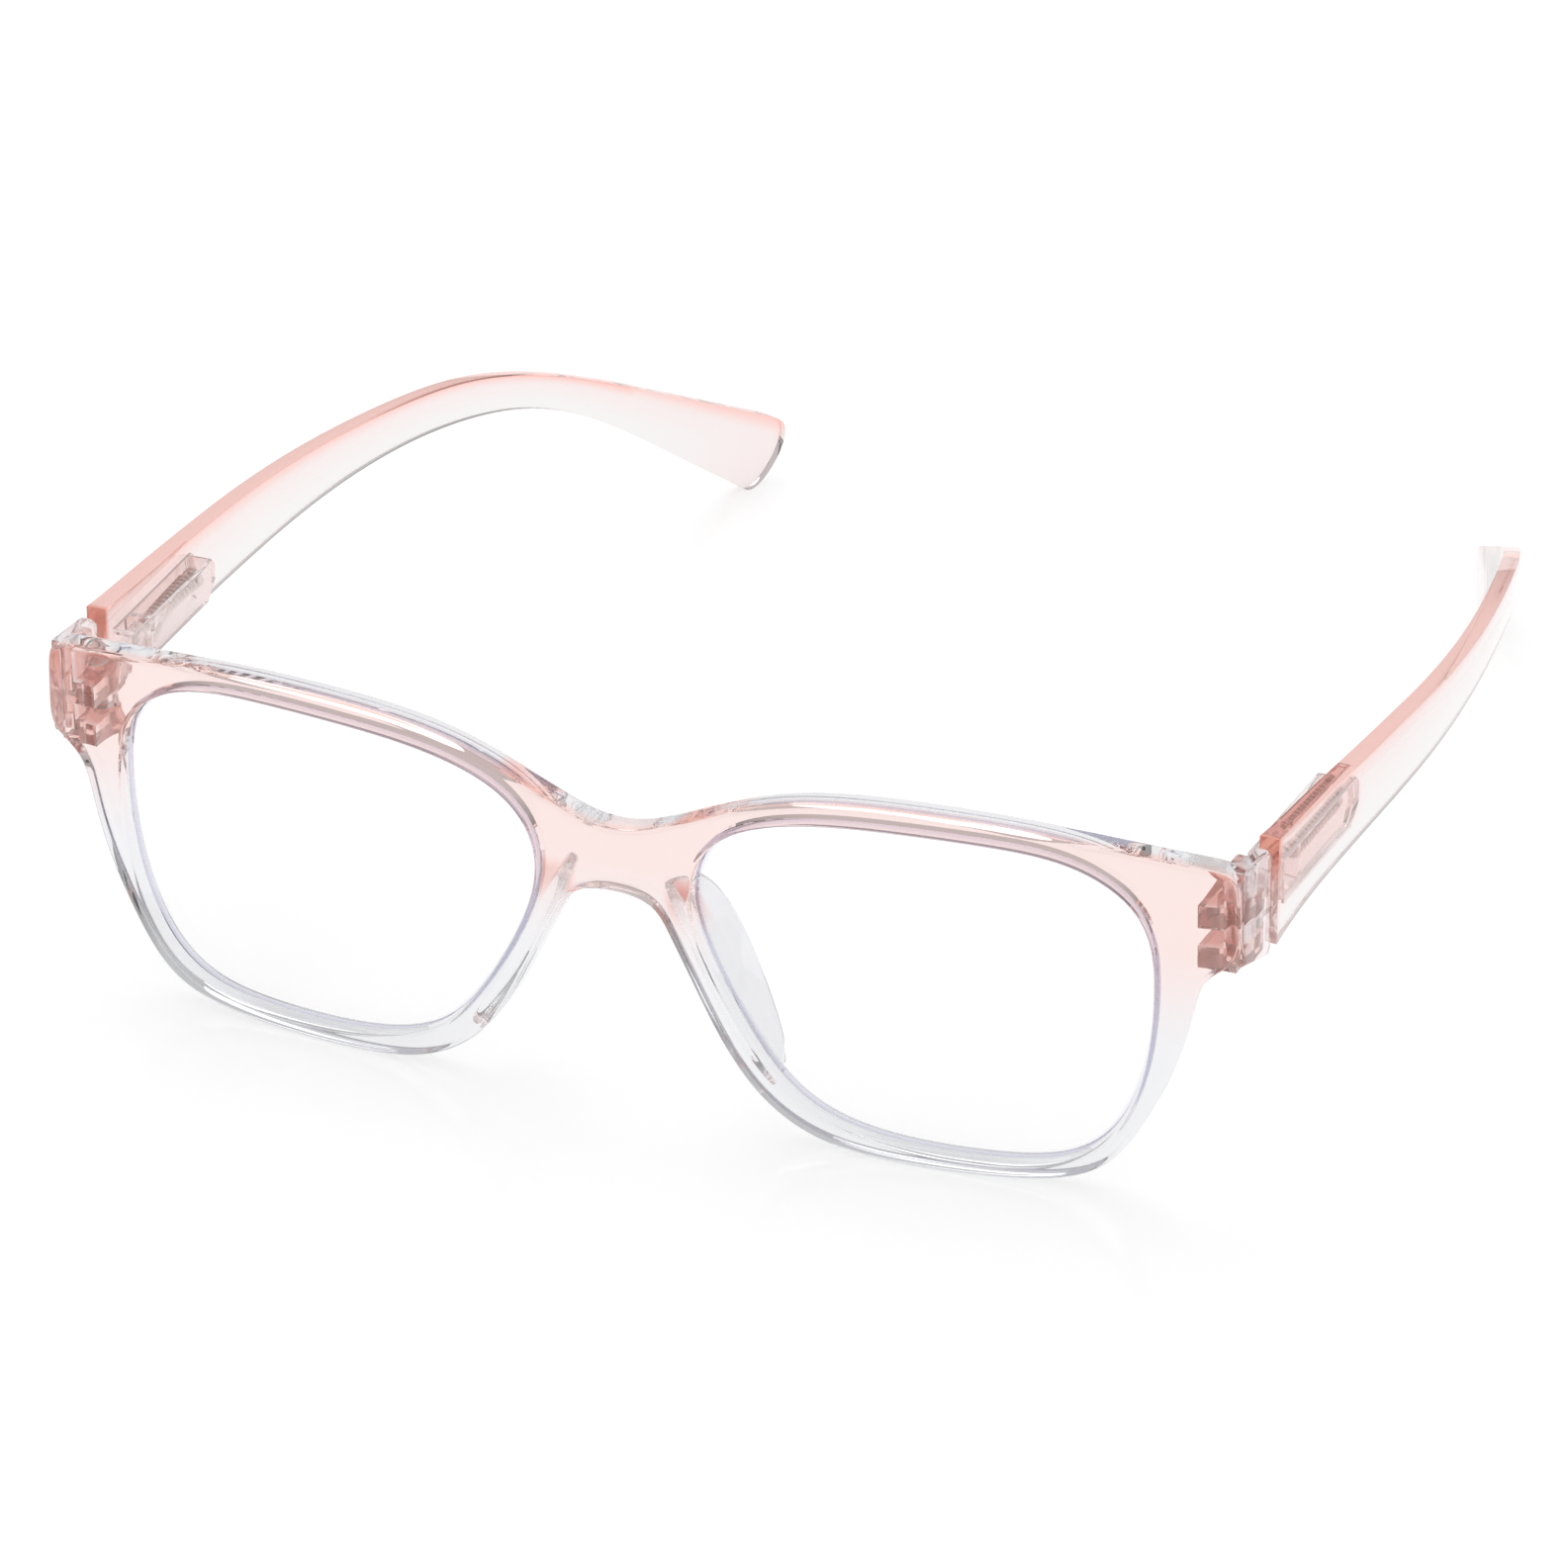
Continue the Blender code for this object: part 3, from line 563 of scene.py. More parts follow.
def edge_rows(depth, radius):
    """(depth, inset) rows of a wall with both edges rounded."""
    steps = [math.radians(a) for a in EDGE_ANGLES]
    front = [(radius * (1 - math.sin(a)), radius * (1 - math.cos(a))) for a in reversed(steps)]
    back = [(depth - d, inset) for d, inset in reversed(front)]
    return front + back


def aperture_rows():
    """(depth, outset) rows of the opening's wall, with the lens groove between its edges."""
    rows = edge_rows(FRONT_DEPTH, APERTURE_ROUND)
    groove = [
        (LENS_FRONT - LENS_GAP, 0.0),
        (LENS_FRONT - LENS_GAP, LENS_REACH + LENS_GAP),
        (LENS_BACK + LENS_GAP, LENS_REACH + LENS_GAP),
        (LENS_BACK + LENS_GAP, 0.0),
    ]
    half = len(EDGE_ANGLES)
    return rows[:half] + groove + rows[half:]


def wall_rings(bm, loop, rows, side=1):
    """Rings of vertices down a wall, one for each (depth, outset) row."""
    rings = []
    for depth, outset in rows:
        placed = [on_face(u, w, depth) for u, w in offset_loop(loop, outset)]
        rings.append([bm.verts.new((side * p.x, p.y, p.z)) for p in placed])
    bridge_rings(bm, rings)
    return rings


def inside(points, loop):
    """Which points lie inside a closed loop."""
    x, y = points[:, 0][:, None], points[:, 1][:, None]
    a, b = loop, np.roll(loop, -1, 0)
    spans = (a[:, 1] > y) != (b[:, 1] > y)
    rise = np.where(b[:, 1] == a[:, 1], 1e-12, b[:, 1] - a[:, 1])
    crossing = (b[:, 0] - a[:, 0]) * (y - a[:, 1]) / rise + a[:, 0]
    return (spans & (x < crossing)).sum(1) % 2 == 1


def fill_skin(bm, rings, loops, depth):
    """A fine triangle skin between an outer loop and its holes, on their own vertices."""
    rim = [vert for ring in rings for vert in ring]
    flat = np.vstack(loops)
    ends = np.cumsum([0] + [len(loop) for loop in loops])
    edges = [(i, i + 1 if i + 1 < b else a) for a, b in zip(ends, ends[1:]) for i in range(a, b)]
    u = np.arange(flat[:, 0].min(), flat[:, 0].max(), SKIN_STEP)
    w = np.arange(flat[:, 1].min(), flat[:, 1].max(), SKIN_STEP)
    grid = np.stack(np.meshgrid(u, w), -1).reshape(-1, 2)
    keep = inside(grid, loops[0])
    for hole in loops[1:]:
        keep &= ~inside(grid, hole)
    near = np.linalg.norm(grid[:, None] - flat[None], axis=2).min(1)
    grid = grid[keep & (near > SKIN_CLEARANCE * SKIN_STEP)]
    points = [Vector(p) for p in np.vstack([flat, grid]) / MM]
    whole_hull, tolerance = 0, 1e-7
    found = delaunay_2d_cdt(points, edges, [], whole_hull, tolerance)
    placed, _, faces, origin, _, _ = found
    inner = {}

    def vert(i):
        known = [k for k in origin[i] if k < len(rim)]
        if known:
            return rim[known[0]]
        if i not in inner:
            inner[i] = bm.verts.new(on_face(placed[i].x * MM, placed[i].y * MM, depth))
        return inner[i]

    middle = np.array([sum((placed[i] for i in f), Vector((0, 0))) / 3 for f in faces]) * MM
    solid = inside(middle, loops[0])
    for hole in loops[1:]:
        solid &= ~inside(middle, hole)
    for face, real in zip(faces, solid):
        if real:
            bm.faces.new([vert(i) for i in face])


def front_slab():
    """Both rims and the bridge as one bent plate with two lens openings."""
    bm = bmesh.new()
    rows = [(depth, -inset) for depth, inset in edge_rows(FRONT_DEPTH, EDGE_ROUND)]
    outline, hole, hole_rows = front_outline(), aperture_outline(), aperture_rows()
    walls = [(wall_rings(bm, outline, rows), outline, rows, 1)]
    for side in (1, -1):
        walls.append((wall_rings(bm, hole, hole_rows, side), hole, hole_rows, side))
    for end in (0, -1):
        rings = [wall[end] for wall, _, _, _ in walls]
        loops = [offset_loop(loop, r[end][1]) * (side, 1) for _, loop, r, side in walls]
        fill_skin(bm, rings, loops, rows[end][0])
    return new_mesh(bm, "front_slab")


def pad_rings():
    """Rings across a nose pad, from its top end to its lower end, closer at both ends."""
    fine = spline(PAD_LINE, PAD_STEPS) * MM
    shares = [-math.cos(math.pi * i / (PAD_RINGS - 1)) for i in range(PAD_RINGS)]
    places = [0.5 * (share + 1.0) * (len(fine) - 1) for share in shares]
    line = np.stack([np.interp(places, np.arange(len(fine)), fine[:, i]) for i in range(2)], 1)
    tangent = np.gradient(line, axis=0)
    normal = np.stack([-tangent[:, 1], tangent[:, 0]], 1)
    normal /= np.linalg.norm(normal, axis=1)[:, None]
    rings = []
    for i, (share, (u, w)) in enumerate(zip(shares, line)):
        swell = max(1.0 - share * share, PAD_END_SHARE) ** PAD_FULLNESS
        reach = FRONT_DEPTH - PAD_END_SINK + (PAD_REACH + PAD_END_SINK) * swell
        half = 0.5 * PAD_THICKNESS * (PAD_END_THICKNESS + (1.0 - PAD_END_THICKNESS) * swell)
        rings.append(pad_section(u, w, normal[i], half, reach))
    return rings


def pad_section(u, w, normal, half, reach):
    """One section of a nose pad: a blade with a round back edge."""
    root = FRONT_DEPTH - PAD_ROOT
    angles = [math.pi * (1.0 - i / (PAD_EDGE_STEPS - 1)) for i in range(PAD_EDGE_STEPS)]
    back = [(math.cos(a), reach - half + half * math.sin(a)) for a in angles]
    shape = [(-1.0, root)] + back + [(1.0, root)]
    placed = []
    for across, depth in shape:
        lean = math.tan(PAD_SPLAY) * max(depth - FRONT_DEPTH, 0.0)
        shift = across * half + lean
        placed.append(on_face(u + normal[0] * shift, w + normal[1] * shift, depth))
    return placed


def end_block(side):
    """The solid of an end piece, before the hinge space is cut from it."""
    outline = [(y * MM, z * MM) for y, z in END_PROFILE]
    return prism_x(outline, END_INNER, END_OUTER, side)


def hinge_space(side):
    """What is cut from an end block, leaving its back and its outer wall."""
    across = (END_INNER - 2 * PAST, WALL_INNER)
    return box(across, (END_BACK, WALL_BACK + 2 * PAST), HINGE_SPACE_Z, side)


def lug(side, levels):
    """A hinge lug: round about the pin, rooted in the back of the rim and the outer wall."""
    low, high = (PIN.z + level for level in levels)
    turned = upright_cylinder((PIN.x, PIN.y), LUG_RADIUS, low, high, side)
    reach = (PIN.x - LUG_RADIUS, WALL_INNER + LUG_OVERLAP)
    root = box(reach, (LUG_ROOT_Y, PIN.y), (low, high), side)
    return turned, root


def build_front(material):
    front = add_object("front_shape", front_slab())
    for side, hand in ((1, "right"), (-1, "left")):
        block = add_tool(f"end_block_{hand}", end_block(side), rounding=END_ROUND)
        boolean(block, "DIFFERENCE", add_tool(f"hinge_space_{hand}", hinge_space(side)))
        boolean(front, "UNION", block)
        for level, levels in (("upper", UPPER_LUG), ("lower", LOWER_LUG)):
            for shape, bm in zip(("turned", "root"), lug(side, levels)):
                boolean(front, "UNION", add_tool(f"lug_{level}_{shape}_{hand}", bm))
        boolean(front, "UNION", add_tool(f"nose_pad_{hand}", loft(pad_rings(), side)))
        for cut, bm in screw_space(side):
            boolean(front, "DIFFERENCE", add_tool(f"{cut}_{hand}", bm))
    settle(front, material, "front", "front_frame")


def screw_space(side):
    centre = (PIN.x, PIN.y)
    low = PIN.z + LOWER_LUG[0] - 2 * PAST
    high = PIN.z + UPPER_LUG[1]
    above = high + 2 * PAST
    yield "screw_bore", upright_cylinder(centre, BORE_RADIUS, low, above, side)
    seat = high - HEAD_HEIGHT - 2 * HEAD_DEPTH
    yield "screw_seat", upright_cylinder(centre, HEAD_RADIUS + HEAD_GAP, seat, above, side)


def build_lens(side, hand, material):
    loop = offset_loop(aperture_outline(), LENS_REACH)
    centre = loop.mean(axis=0)
    shares = [1.0 - LENS_RING_STEP * i for i in range(LENS_RINGS)]

    def face(depth):
        for share in shares:
            ring = centre + share * (loop - centre)
            yield [on_face(u, w, depth - LENS_DOME * (1.0 - share * share)) for u, w in ring]

    rings = list(face(LENS_FRONT))[::-1] + list(face(LENS_BACK))
    name = f"lens_shape_{hand}"
    lens = add_object(name, new_mesh(loft(rings, side), name))
    settle(lens, material, "front", f"lens_{hand}")
    shares_of_rings = np.repeat(shares[::-1] + shares, len(loop)).astype(np.float32)
    lens.data.attributes.new(LEVEL, "FLOAT", "POINT").data.foreach_set("value", shares_of_rings)


def screw_mesh(side, name):
    top = PIN.z + UPPER_LUG[1] - HEAD_DEPTH
    foot = PIN.z + LOWER_LUG[0] + SCREW_FOOT
    neck = top - HEAD_HEIGHT
    levels = [
        (foot, PIN_RADIUS - SCREW_CHAMFER), (foot + SCREW_FOOT, PIN_RADIUS), (neck, PIN_RADIUS),
        (neck, HEAD_RADIUS), (top - SCREW_CHAMFER, HEAD_RADIUS), (top, HEAD_RADIUS - HEAD_CHAMFER),
    ]
    rings = [[(PIN.x + x, PIN.y + y, z) for x, y in circle(r)] for z, r in levels]
    return new_mesh(loft(rings, side), name)


def build_screw(side, hand, material):
    name = f"screw_shape_{hand}"
    screw = add_object(name, screw_mesh(side, name))
    top = PIN.z + UPPER_LUG[1]
    across = (PIN.x - SLOT_REACH * HEAD_RADIUS, PIN.x + SLOT_REACH * HEAD_RADIUS)
    along = (PIN.y - SLOT_WIDTH / 2, PIN.y + SLOT_WIDTH / 2)
    slot = box(across, along, (top - SLOT_DEPTH, top + PAST), side)
    boolean(screw, "DIFFERENCE", add_tool(f"screw_slot_{hand}", slot))
    settle(screw, material, "front", f"hinge_screw_{hand}")


# Temple and hinge pieces, whose meshes are in hinge coordinates


def to_hinge(point):
    turn = Matrix.Rotation(TEMPLE_TURN, 3, "Z")
    return turn @ (Vector(point) - PIN)


def temple_edges():
    """Matching points along the top and bottom edges, closing together round the tip."""
    top = spline(TEMPLE_TOP, TEMPLE_STEPS)
    bottom = spline(TEMPLE_BOTTOM, TEMPLE_STEPS)
    tip_knots = [TEMPLE_TOP[-1]] + TEMPLE_TIP + [TEMPLE_BOTTOM[-1]]
    whole_tip = spline(tip_knots, TEMPLE_STEPS)[1:-1]
    half = len(whole_tip) // 2
    top = np.vstack([top, whole_tip[:half]])
    bottom = np.vstack([bottom, whole_tip[::-1][:half]])
    return top * MM, bottom * MM


def plan_line():
    """The temple's outer face seen from above, as (y, x, slope) on a fine grid."""
    fine = spline(TEMPLE_PLAN, PLAN_STEPS) * MM
    return fine[:, 0], fine[:, 1], np.gradient(fine[:, 1], fine[:, 0])


def temple_thickness(y):
    start, end = TEMPLE_TAPER
    share = min(max((y - start) / (end - start), 0.0), 1.0)
    return TEMPLE_FRONT_THICKNESS + share * (TEMPLE_THICKNESS - TEMPLE_FRONT_THICKNESS)


def temple_mesh(side, name):
    plan_y, plan_x, plan_slope = plan_line()
    rings = []
    for (top_y, top_z), (low_y, low_z) in zip(*temple_edges()):
        ring = []
        corners = (top_y, top_z, 0), (low_y, low_z, 0), (low_y, low_z, 1), (top_y, top_z, 1)
        for y, z, inner in corners:
            x = float(np.interp(y, plan_y, plan_x))
            slope = float(np.interp(y, plan_y, plan_slope))
            inwards = Vector((-1.0, slope, 0.0)).normalized()
            inset = float(inner * temple_thickness(y))
            ring.append(to_hinge(Vector((x, y, z)) + inset * inwards))
        rings.append(ring)
    return new_mesh(loft(rings, side), name)


def box_side(margin=0.0):
    """The spring box's side view, grown outwards by a margin."""
    loop = np.array(BOX_SIDE)[::-1] * MM
    grown = loop + margin * np.sign(loop - loop.mean(axis=0))
    return [tuple(point) for point in grown]


def hinge_place(side):
    """From hinge coordinates to shape coordinates."""
    turn = Matrix.Rotation(-side * TEMPLE_TURN, 4, "Z")
    return Matrix.Translation((side * PIN.x, PIN.y, PIN.z)) @ turn


def build_temple(side, hand, material):
    name, place = f"temple_shape_{hand}", hinge_place(side)
    temple = add_object(name, temple_mesh(side, name), place)
    soften(temple, TEMPLE_ROUND, segments=4, angle=50)
    pocket = prism_x(box_side(POCKET_GAP), BOX_INNER - 3 * PAST, POCKET_FLOOR, side)
    boolean(temple, "DIFFERENCE", add_tool(f"temple_pocket_{hand}", pocket, place))
    settle(temple, material, f"{hand}_temple", f"temple_{hand}")
    write_level(temple)


def build_cover(side, hand, material):
    """The spring box: a tub open to the temple, with a bulkhead that the spring pushes on."""
    name, place = f"cover_shape_{hand}", hinge_place(side)
    shell = prism_x(box_side(), BOX_INNER, BOX_OUTER, side)
    cover = add_object(name, new_mesh(shell, name), place)
    soften(cover, BOX_ROUND, segments=4, angle=30)
    inside_x = (BOX_INNER + BOX_WALL, BOX_OUTER + PAST)
    inside_z = (BOX_SIDE[-1][1] * MM + BOX_WALL, BOX_SIDE[1][1] * MM - BOX_WALL)
    front = box(inside_x, (CAVITY_START, BULKHEAD[0]), inside_z, side)
    floor = inside_z[0]
    rear_side = [
        (BULKHEAD[1], floor), (CAVITY_SLOPE_Y, floor), (CAVITY_END, floor + CAVITY_SLOPE_RISE),
        (CAVITY_END, inside_z[1]), (BULKHEAD[1], inside_z[1]),
    ]
    rear = prism_x(rear_side, *inside_x, side)
    through = (BULKHEAD[0] - 0.6 * PAST, BULKHEAD[1] + 0.6 * PAST)
    hole = rod_along_y(ROD_AXIS, ROD_RADIUS + ROD_GAP, *through, side)
    for part, bm in (("guide_space", front), ("spring_space", rear), ("rod_hole", hole)):
        boolean(cover, "DIFFERENCE", add_tool(f"{part}_{hand}", bm, place))
    settle(cover, material, f"{hand}_temple", f"hinge_cover_{hand}")


def build_slide(side, hand, material):
    """The eye on the pin, the guide block behind it and the rod through the spring."""
    name, place = f"slide_shape_{hand}", hinge_place(side)
    slide = add_object(name, new_mesh(box(GUIDE_X, GUIDE_Y, GUIDE_Z, side), name), place)
    eye = upright_cylinder((0, 0), EYE_RADIUS, -EYE_HALF, EYE_HALF, side)
    neck = box(NECK_X, NECK_Y, (-EYE_HALF, EYE_HALF), side)
    rod = rod_along_y(ROD_AXIS, ROD_RADIUS, GUIDE_Y[1] - ROD_OVERLAP, ROD_END, side)
    for part, bm in (("eye", eye), ("neck", neck), ("rod", rod)):
        boolean(slide, "UNION", add_tool(f"slide_{part}_{hand}", bm, place))
    bore = upright_cylinder((0, 0), BORE_RADIUS, -2 * PAST, 2 * PAST, side)
    boolean(slide, "DIFFERENCE", add_tool(f"slide_bore_{hand}", bore, place))
    settle(slide, material, f"{hand}_slider", f"hinge_slide_{hand}")


def build_nut(side, hand, material):
    name, place = f"nut_shape_{hand}", hinge_place(side)
    turned = rod_along_y(ROD_AXIS, NUT_RADIUS, *NUT_Y, side)
    nut = add_object(name, new_mesh(turned, name), place)
    soften(nut, NUT_ROUND, segments=3, angle=50)
    through = (NUT_Y[0] - PAST, NUT_Y[1] + PAST)
    hole = rod_along_y(ROD_AXIS, ROD_RADIUS + NUT_GAP, *through, side)
    boolean(nut, "DIFFERENCE", add_tool(f"nut_hole_{hand}", hole, place))
    settle(nut, material, f"{hand}_slider", f"spring_nut_{hand}")


def build_spring(side, hand, material):
    """A coil of round wire about the rod."""
    name, place = f"spring_shape_{hand}", hinge_place(side)
    length = SPRING_Y[1] - SPRING_Y[0] - 2 * WIRE_RADIUS
    pitch = length / SPRING_TURNS
    rings = []
    for step in range(SPRING_TURNS * SPRING_STEPS + 1):
        angle = 2.0 * math.pi * step / SPRING_STEPS
        y = SPRING_Y[0] + WIRE_RADIUS + pitch * step / SPRING_STEPS
        ring = []
        for across, along in circle(WIRE_RADIUS, WIRE_SIDES):
            radius = SPRING_RADIUS + across
            ring.append((
                ROD_AXIS[0] + radius * math.cos(angle), y + along,
                ROD_AXIS[1] + radius * math.sin(angle),
            ))
        rings.append(ring)
    spring = add_object(name, new_mesh(loft(rings, side), name), place)
    settle(spring, material, None, f"hinge_spring_{hand}")
    ends = [place @ Vector((side * ROD_AXIS[0], y, ROD_AXIS[1])) for y in SPRING_Y]
    start, end = (point - Vector((0, MIDDLE_Y, 0)) for point in ends)
    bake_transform(spring)
    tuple(start)
    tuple(end)


# Materials


SOCKETS = {
    "ior": "IOR", "transmission_weight": "Transmission Weight", "metallic": "Metallic",
    "specular_tint": "Specular Tint",
}


class Nodes:
    """A material with a Principled shader and short calls for the nodes before it."""

    def __init__(self, name):
        self.material = bpy.data.materials.new(name)
        self.material.use_nodes = True
        self.tree = self.material.node_tree
        self.shader = self.tree.nodes["Principled BSDF"]

    def put(self, kind, inputs=(), **settings):
        node = self.tree.nodes.new(kind)
        for key, value in settings.items():
            setattr(node, key, value)
        for key, value in dict(inputs).items():
            self.set(node.inputs[key], value)
        return node

    def set(self, socket, value):
        if isinstance(value, bpy.types.NodeSocket):
            self.tree.links.new(value, socket)
        else:
            socket.default_value = value

    def maths(self, operation, *values):
        node = self.put("ShaderNodeMath", dict(enumerate(values)), operation=operation)
        return node.outputs[0]

    def smooth(self, value, low, high):
        """0 below the low value, 1 above the high one, and smooth between."""
        node = self.put(
            "ShaderNodeMapRange", {"Value": value, "From Min": low, "From Max": high},
            interpolation_type="SMOOTHSTEP",
        )
        return node.outputs["Result"]

    def times(self, first, *others):
        """The product of all the values."""
        for other in others:
            first = self.maths("MULTIPLY", first, other)
        return first

    def between(self, value, start, end):
        """1 between two spans: fades in over the first and out over the second."""
        return self.maths("SUBTRACT", self.smooth(value, *start), self.smooth(value, *end))

    def mix(self, share, first, second):
        """A blend of two colours, whose sockets a Mix node has under these numbers."""
        node = self.put("ShaderNodeMix", data_type="RGBA")
        self.set(node.inputs["Factor"], share)
        self.set(node.inputs[6], first)
        self.set(node.inputs[7], second)
        return node.outputs[2]

    def place(self):
        return self.put("ShaderNodeTexCoord").outputs["Object"]

    def split(self, vector):
        return self.put("ShaderNodeSeparateXYZ", {"Vector": vector}).outputs

    def noise(self, scale, **inputs):
        settings = {"Vector": self.place(), "Scale": scale, **inputs}
        return self.put("ShaderNodeTexNoise", settings).outputs["Fac"]

    def level(self):
        return self.put("ShaderNodeAttribute", attribute_name=LEVEL).outputs["Fac"]

    def bump(self, scale, height):
        """Faint unevenness of a moulded surface."""
        bump = self.put("ShaderNodeBump", {
            "Height": self.noise(scale, Detail=BUMP_DETAIL), "Distance": height,
            "Strength": BUMP_STRENGTH,
        })
        self.set(self.shader.inputs["Normal"], bump.outputs["Normal"])

    def finish(self, colour, roughness, **values):
        """Sets the colour, the roughness and any other sockets, and gives the material."""
        self.set(self.shader.inputs["Base Color"], colour)
        self.set(self.shader.inputs["Roughness"], roughness)
        for name, value in values.items():
            self.shader.inputs[SOCKETS[name]].default_value = value
        return self.material


def depth_behind_skin(n, axes):
    """How far a place lies behind the front skin."""
    across = n.maths("ABSOLUTE", axes["X"])
    bend = n.times(across, across, FACE_BEND)
    soft = n.maths("MULTIPLY_ADD", across, across, CREASE_SOFT**2)
    crease = n.maths("SUBTRACT", n.maths("SQRT", soft), CREASE_SOFT)
    tilt = n.times(axes["Z"], math.sin(FACE_TILT))
    turn = n.times(across, n.maths("SUBTRACT", axes["Z"], TWIST_LEVEL))
    skin = n.maths("SUBTRACT", bend, n.times(crease, FACE_CREASE))
    skin = n.maths("SUBTRACT", skin, tilt)
    skin = n.maths("SUBTRACT", skin, n.times(turn, FACE_TWIST))
    return n.maths("SUBTRACT", n.maths("ADD", axes["Y"], MIDDLE_Y), skin)


def dye_streaks(n, across, height):
    """Patches of dye that show in the top edge at both shoulders of the bridge."""
    normal = n.put("ShaderNodeNewGeometry").outputs["Normal"]
    up = n.smooth(n.split(normal)["Z"], *STREAK_FACING)
    uneven = n.smooth(n.noise(STREAK_SCALE, Detail=STREAK_DETAIL), *STREAK_NOISE)
    patches = n.times(n.between(across, STREAK_START, STREAK_END), uneven)
    return n.times(up, patches, n.times(height, STREAK_DYE))


def deep_dye(n, axes, across, depth):
    """How deep the dye is in the hinge lugs, the end pieces and the tops of the pads."""
    ends = n.times(n.smooth(across, *END_ACROSS), END_DYE)
    wall = n.times(n.smooth(across, *WALL_ACROSS), END_DYE - WALL_DYE)
    block = n.times(n.smooth(depth, *HINGE_DEPTH), n.maths("SUBTRACT", ends, wall))
    block = n.times(block, n.smooth(axes["Z"], *DEEP_HEIGHT))
    root = n.between(depth, PAD_DEPTH_START, PAD_DEPTH_END)
    pads = n.between(across, PAD_ACROSS_START, PAD_ACROSS_END)
    band = n.between(axes["Z"], PAD_HEIGHT_START, PAD_HEIGHT_END)
    return n.maths("MAXIMUM", block, n.times(root, pads, PAD_DYE, band))


def dyed_front():
    """Clear plastic whose front layer is dyed at the top and fades out downwards."""
    n = Nodes("front_plastic_look")
    axes = n.split(n.place())
    across = n.maths("ABSOLUTE", axes["X"])
    depth = depth_behind_skin(n, axes)
    height = n.smooth(axes["Z"], *DYE_HEIGHT)
    layer = n.maths("SUBTRACT", 1.0, n.smooth(depth, *DYE_LAYER))
    deep = deep_dye(n, axes, across, depth)
    colour = n.mix(n.times(height, layer), CLEAR, FRONT_DYE)
    colour = n.mix(deep, colour, DEEP_DYE)
    colour = n.mix(dye_streaks(n, across, height), colour, STRONG_DYE)
    n.bump(*FRONT_BUMP)
    clear = n.maths("SUBTRACT", 1.0, n.times(deep, deep, MATT))
    n.set(n.shader.inputs["Transmission Weight"], clear)
    return n.finish(colour, FRONT_ROUGHNESS, ior=PLASTIC_IOR)


def dyed_temple():
    """Clear plastic dyed along the top edge, at the front end and behind the spring box."""
    n = Nodes("temple_plastic_look")
    level, along = n.level(), n.split(n.place())["Y"]
    edge = n.smooth(level, *EDGE_LEVEL)
    bleed = n.times(n.smooth(level, *BLEED_LEVEL), BLEED_SHARE)
    tint = n.times(n.smooth(level, *TINT_LEVEL), TINT_SHARE)
    tip = n.times(n.smooth(along, *TIP_Y), TIP_SHARE)
    beside_box = n.maths("SUBTRACT", 1.0, n.smooth(along, *POCKET_Y))
    pocket = n.times(beside_box, n.smooth(level, *POCKET_LEVEL), POCKET_SHARE)
    faint = n.maths("MAXIMUM", n.maths("ADD", bleed, tint), n.maths("MAXIMUM", pocket, tip))
    colour = n.mix(n.maths("MAXIMUM", edge, faint), TEMPLE_CLEAR, TEMPLE_DYE)
    front = n.maths("SUBTRACT", 1.0, n.smooth(along, *FRONT_END_Y))
    upper = n.smooth(level, *FRONT_END_LEVEL)
    upper = n.maths("MULTIPLY_ADD", upper, 1.0 - FRONT_END_LEAST, FRONT_END_LEAST)
    front = n.times(front, upper)
    n.bump(*TEMPLE_BUMP)
    clear = n.maths("MULTIPLY_ADD", front, -MATT, 1.0)
    n.set(n.shader.inputs["Transmission Weight"], clear)
    return n.finish(n.mix(front, colour, STRONG_DYE), TEMPLE_ROUGHNESS, ior=PLASTIC_IOR)


def write_level(obj):
    """Stores how far up between the temple's bottom and top edge each vertex lies."""
    top, bottom = temple_edges()
    rise = top - bottom
    places = np.array([(v.co.y + MIDDLE_Y, v.co.z) for v in obj.data.vertices])
    share = ((places[:, None] - bottom) * rise).sum(2) / np.maximum((rise * rise).sum(1), 1e-12)
    share = share.clip(0.0, 1.0)
    near = np.linalg.norm(bottom + share[..., None] * rise - places[:, None], axis=2).argmin(1)
    level = obj.data.attributes.new(LEVEL, "FLOAT", "POINT")
    level.data.foreach_set("value", share[np.arange(len(near)), near].astype(np.float32))


def clear_plastic():
    n = Nodes("clear_plastic_look")
    colour = n.mix(n.noise(BOX_CLOUD_SCALE), BOX_CLEAR, BOX_CLOUD)
    n.bump(*BOX_BUMP)
    return n.finish(colour, BOX_ROUGHNESS, ior=PLASTIC_IOR, transmission_weight=1.0)


def lens_look():
    """A clear lens with a bluish coated sheen, and painted shade that darkens its edge in the
    groove.
    """
    n = Nodes("lens_plastic_look")
    colour = n.mix(n.noise(LENS_CLOUD_SCALE), LENS_CLEAR, LENS_CLOUD)
    # painted shade on the edge of the lens, in its groove
    colour = n.mix(n.smooth(n.level(), *LENS_SHADE_LEVEL), colour, LENS_EDGE_SHADE)
    return n.finish(
        colour, 0.0, ior=LENS_IOR, transmission_weight=1.0, specular_tint=LENS_SHEEN,
    )


def steel_look():
    n = Nodes("steel_look")
    grain = n.noise(STEEL_GRAIN_SCALE)
    rough = n.maths("MULTIPLY_ADD", grain, STEEL_ROUGHNESS_GRAIN, STEEL_ROUGHNESS)
    return n.finish(n.mix(grain, STEEL_DARK, STEEL_BRIGHT), rough, metallic=1.0)


# Stage


def put_in_scene(name, data):
    obj = bpy.data.objects.new(name, data)
    bpy.context.scene.collection.objects.link(obj)
    return obj


def look_along(obj, direction):
    obj.rotation_mode = "QUATERNION"
    obj.rotation_quaternion = direction.to_track_quat("-Z", "Y")


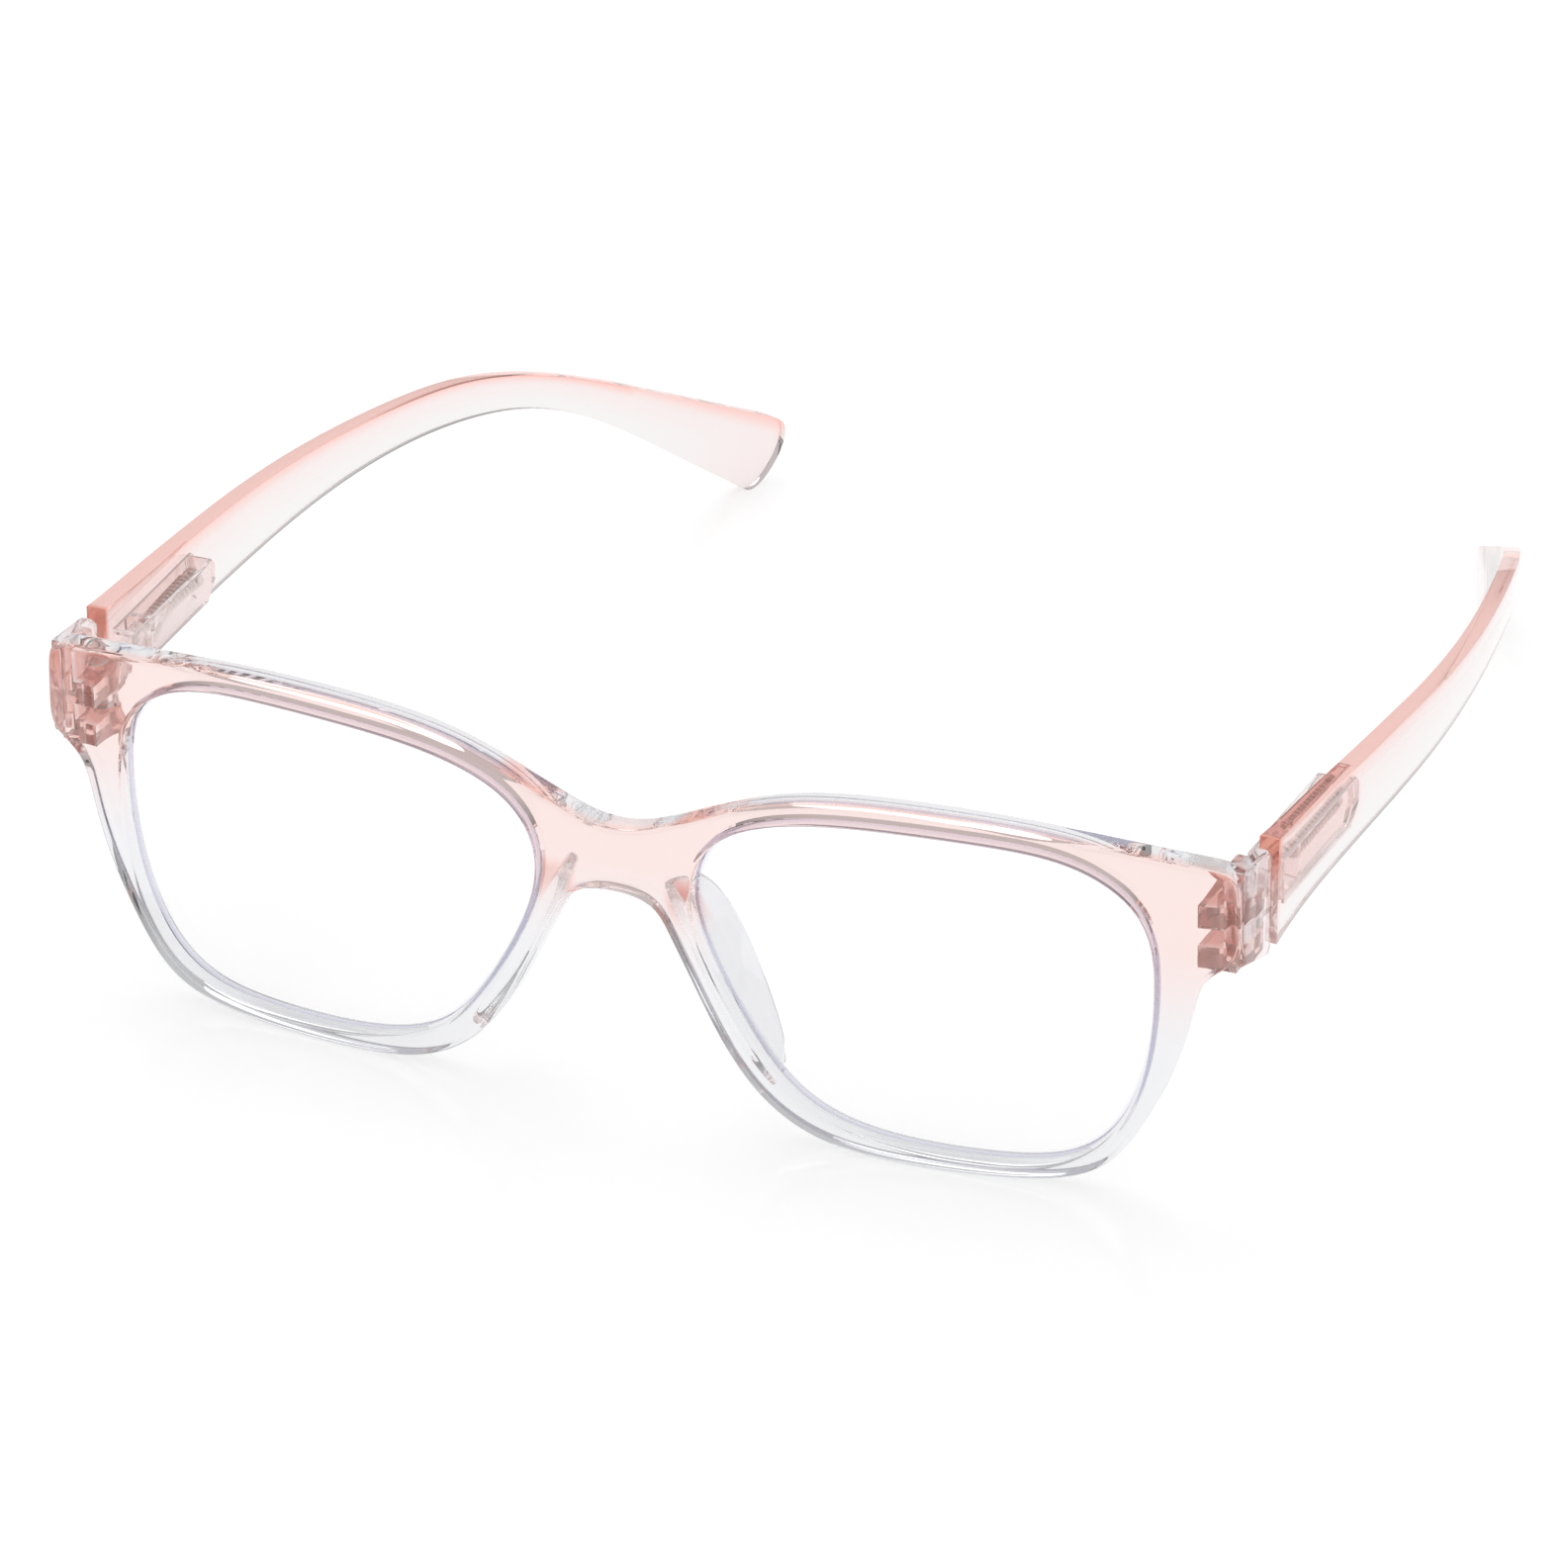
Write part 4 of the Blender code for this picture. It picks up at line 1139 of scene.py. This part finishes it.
def add_camera():
    data = bpy.data.cameras.new("camera")
    data.sensor_width = SENSOR_WIDTH
    data.lens = FOCAL_LENGTH
    data.clip_start, data.clip_end = CAMERA_CLIP
    camera = put_in_scene("camera", data)
    a, e = CAMERA_AZIMUTH, CAMERA_ELEVATION
    back = Vector((math.sin(a) * math.cos(e), -math.cos(a) * math.cos(e), math.sin(e)))
    camera.location = Vector(CAMERA_TARGET) + CAMERA_DISTANCE * back
    look_along(camera, -back)
    bpy.context.scene.camera = camera


def add_light():
    """A large soft lamp above and behind the object."""
    data = bpy.data.lights.new("overhead", "AREA")
    data.shape, data.size, data.energy = "DISK", LIGHT_SIZE, LIGHT_POWER
    light = put_in_scene("overhead", data)
    light.location = LIGHT_PLACE
    look_along(light, -Vector(LIGHT_PLACE))


def add_floor():
    """A white floor that glows a little, so that shadows on it stay faint."""
    bm = bmesh.new()
    bmesh.ops.create_grid(bm, x_segments=1, y_segments=1, size=FLOOR_REACH)
    mesh = bpy.data.meshes.new("floor")
    bm.to_mesh(mesh)
    bm.free()
    floor = put_in_scene("floor", mesh)
    floor.location.z = -FLOOR_GAP
    n = Nodes("floor_look")
    n.shader.inputs["Emission Color"].default_value = (1, 1, 1, 1)
    n.shader.inputs["Emission Strength"].default_value = FLOOR_GLOW
    mesh.materials.append(n.finish(FLOOR_COLOUR, FLOOR_ROUGHNESS))


def add_flag(name, side):
    """A dark card beside the object that draws dark lines in the clear edges."""
    x, z = FLAG_SIZE[0] / 2, FLAG_SIZE[1] / 2
    mesh = bpy.data.meshes.new(name)
    mesh.from_pydata([(-x, 0, -z), (x, 0, -z), (x, 0, z), (-x, 0, z)], [], [(0, 1, 2, 3)])
    flag = put_in_scene(name, mesh)
    flag.location = (side * FLAG_DISTANCE, 0.0, FLAG_HEIGHT)
    flag.rotation_euler.z = math.radians(90)
    flag.visible_camera = flag.visible_shadow = flag.visible_diffuse = False
    mesh.materials.append(Nodes(f"{name}_look").finish(FLAG_SHADE, FLAG_ROUGHNESS))


def add_world():
    """A bright room overhead that darkens towards the horizon."""
    world = bpy.data.worlds.new("studio")
    bpy.context.scene.world = world
    world.use_nodes = True
    tree = world.node_tree
    place = tree.nodes.new("ShaderNodeTexCoord")
    axes = tree.nodes.new("ShaderNodeSeparateXYZ")
    ramp = tree.nodes.new("ShaderNodeValToRGB")
    tree.links.new(place.outputs["Generated"], axes.inputs[0])
    tree.links.new(axes.outputs["Z"], ramp.inputs[0])
    low, high = ramp.color_ramp.elements
    low.position, low.color = 0.0, (HORIZON, HORIZON, HORIZON, 1)
    high.position, high.color = SKY_FULL, (1, 1, 1, 1)
    background = tree.nodes["Background"]
    tree.links.new(ramp.outputs[0], background.inputs["Color"])
    background.inputs["Strength"].default_value = SKY


def main():
    front = dyed_front()
    temple, clear, lens, steel = dyed_temple(), clear_plastic(), lens_look(), steel_look()
    build_front(front)
    for side, hand in ((1, "right"), (-1, "left")):
        build_lens(side, hand, lens)
        build_screw(side, hand, steel)
        build_temple(side, hand, temple)
        build_cover(side, hand, clear)
        build_slide(side, hand, clear)
        build_nut(side, hand, steel)
        build_spring(side, hand, steel)
    add_camera()
    add_floor()
    add_flag("flag_left", -1)
    add_flag("flag_right", 1)
    add_world()
    add_light()
    bpy.context.scene.view_settings.view_transform = "Standard"
    cycles = bpy.context.scene.cycles
    cycles.max_bounces = cycles.transmission_bounces = cycles.glossy_bounces = BOUNCES


main()
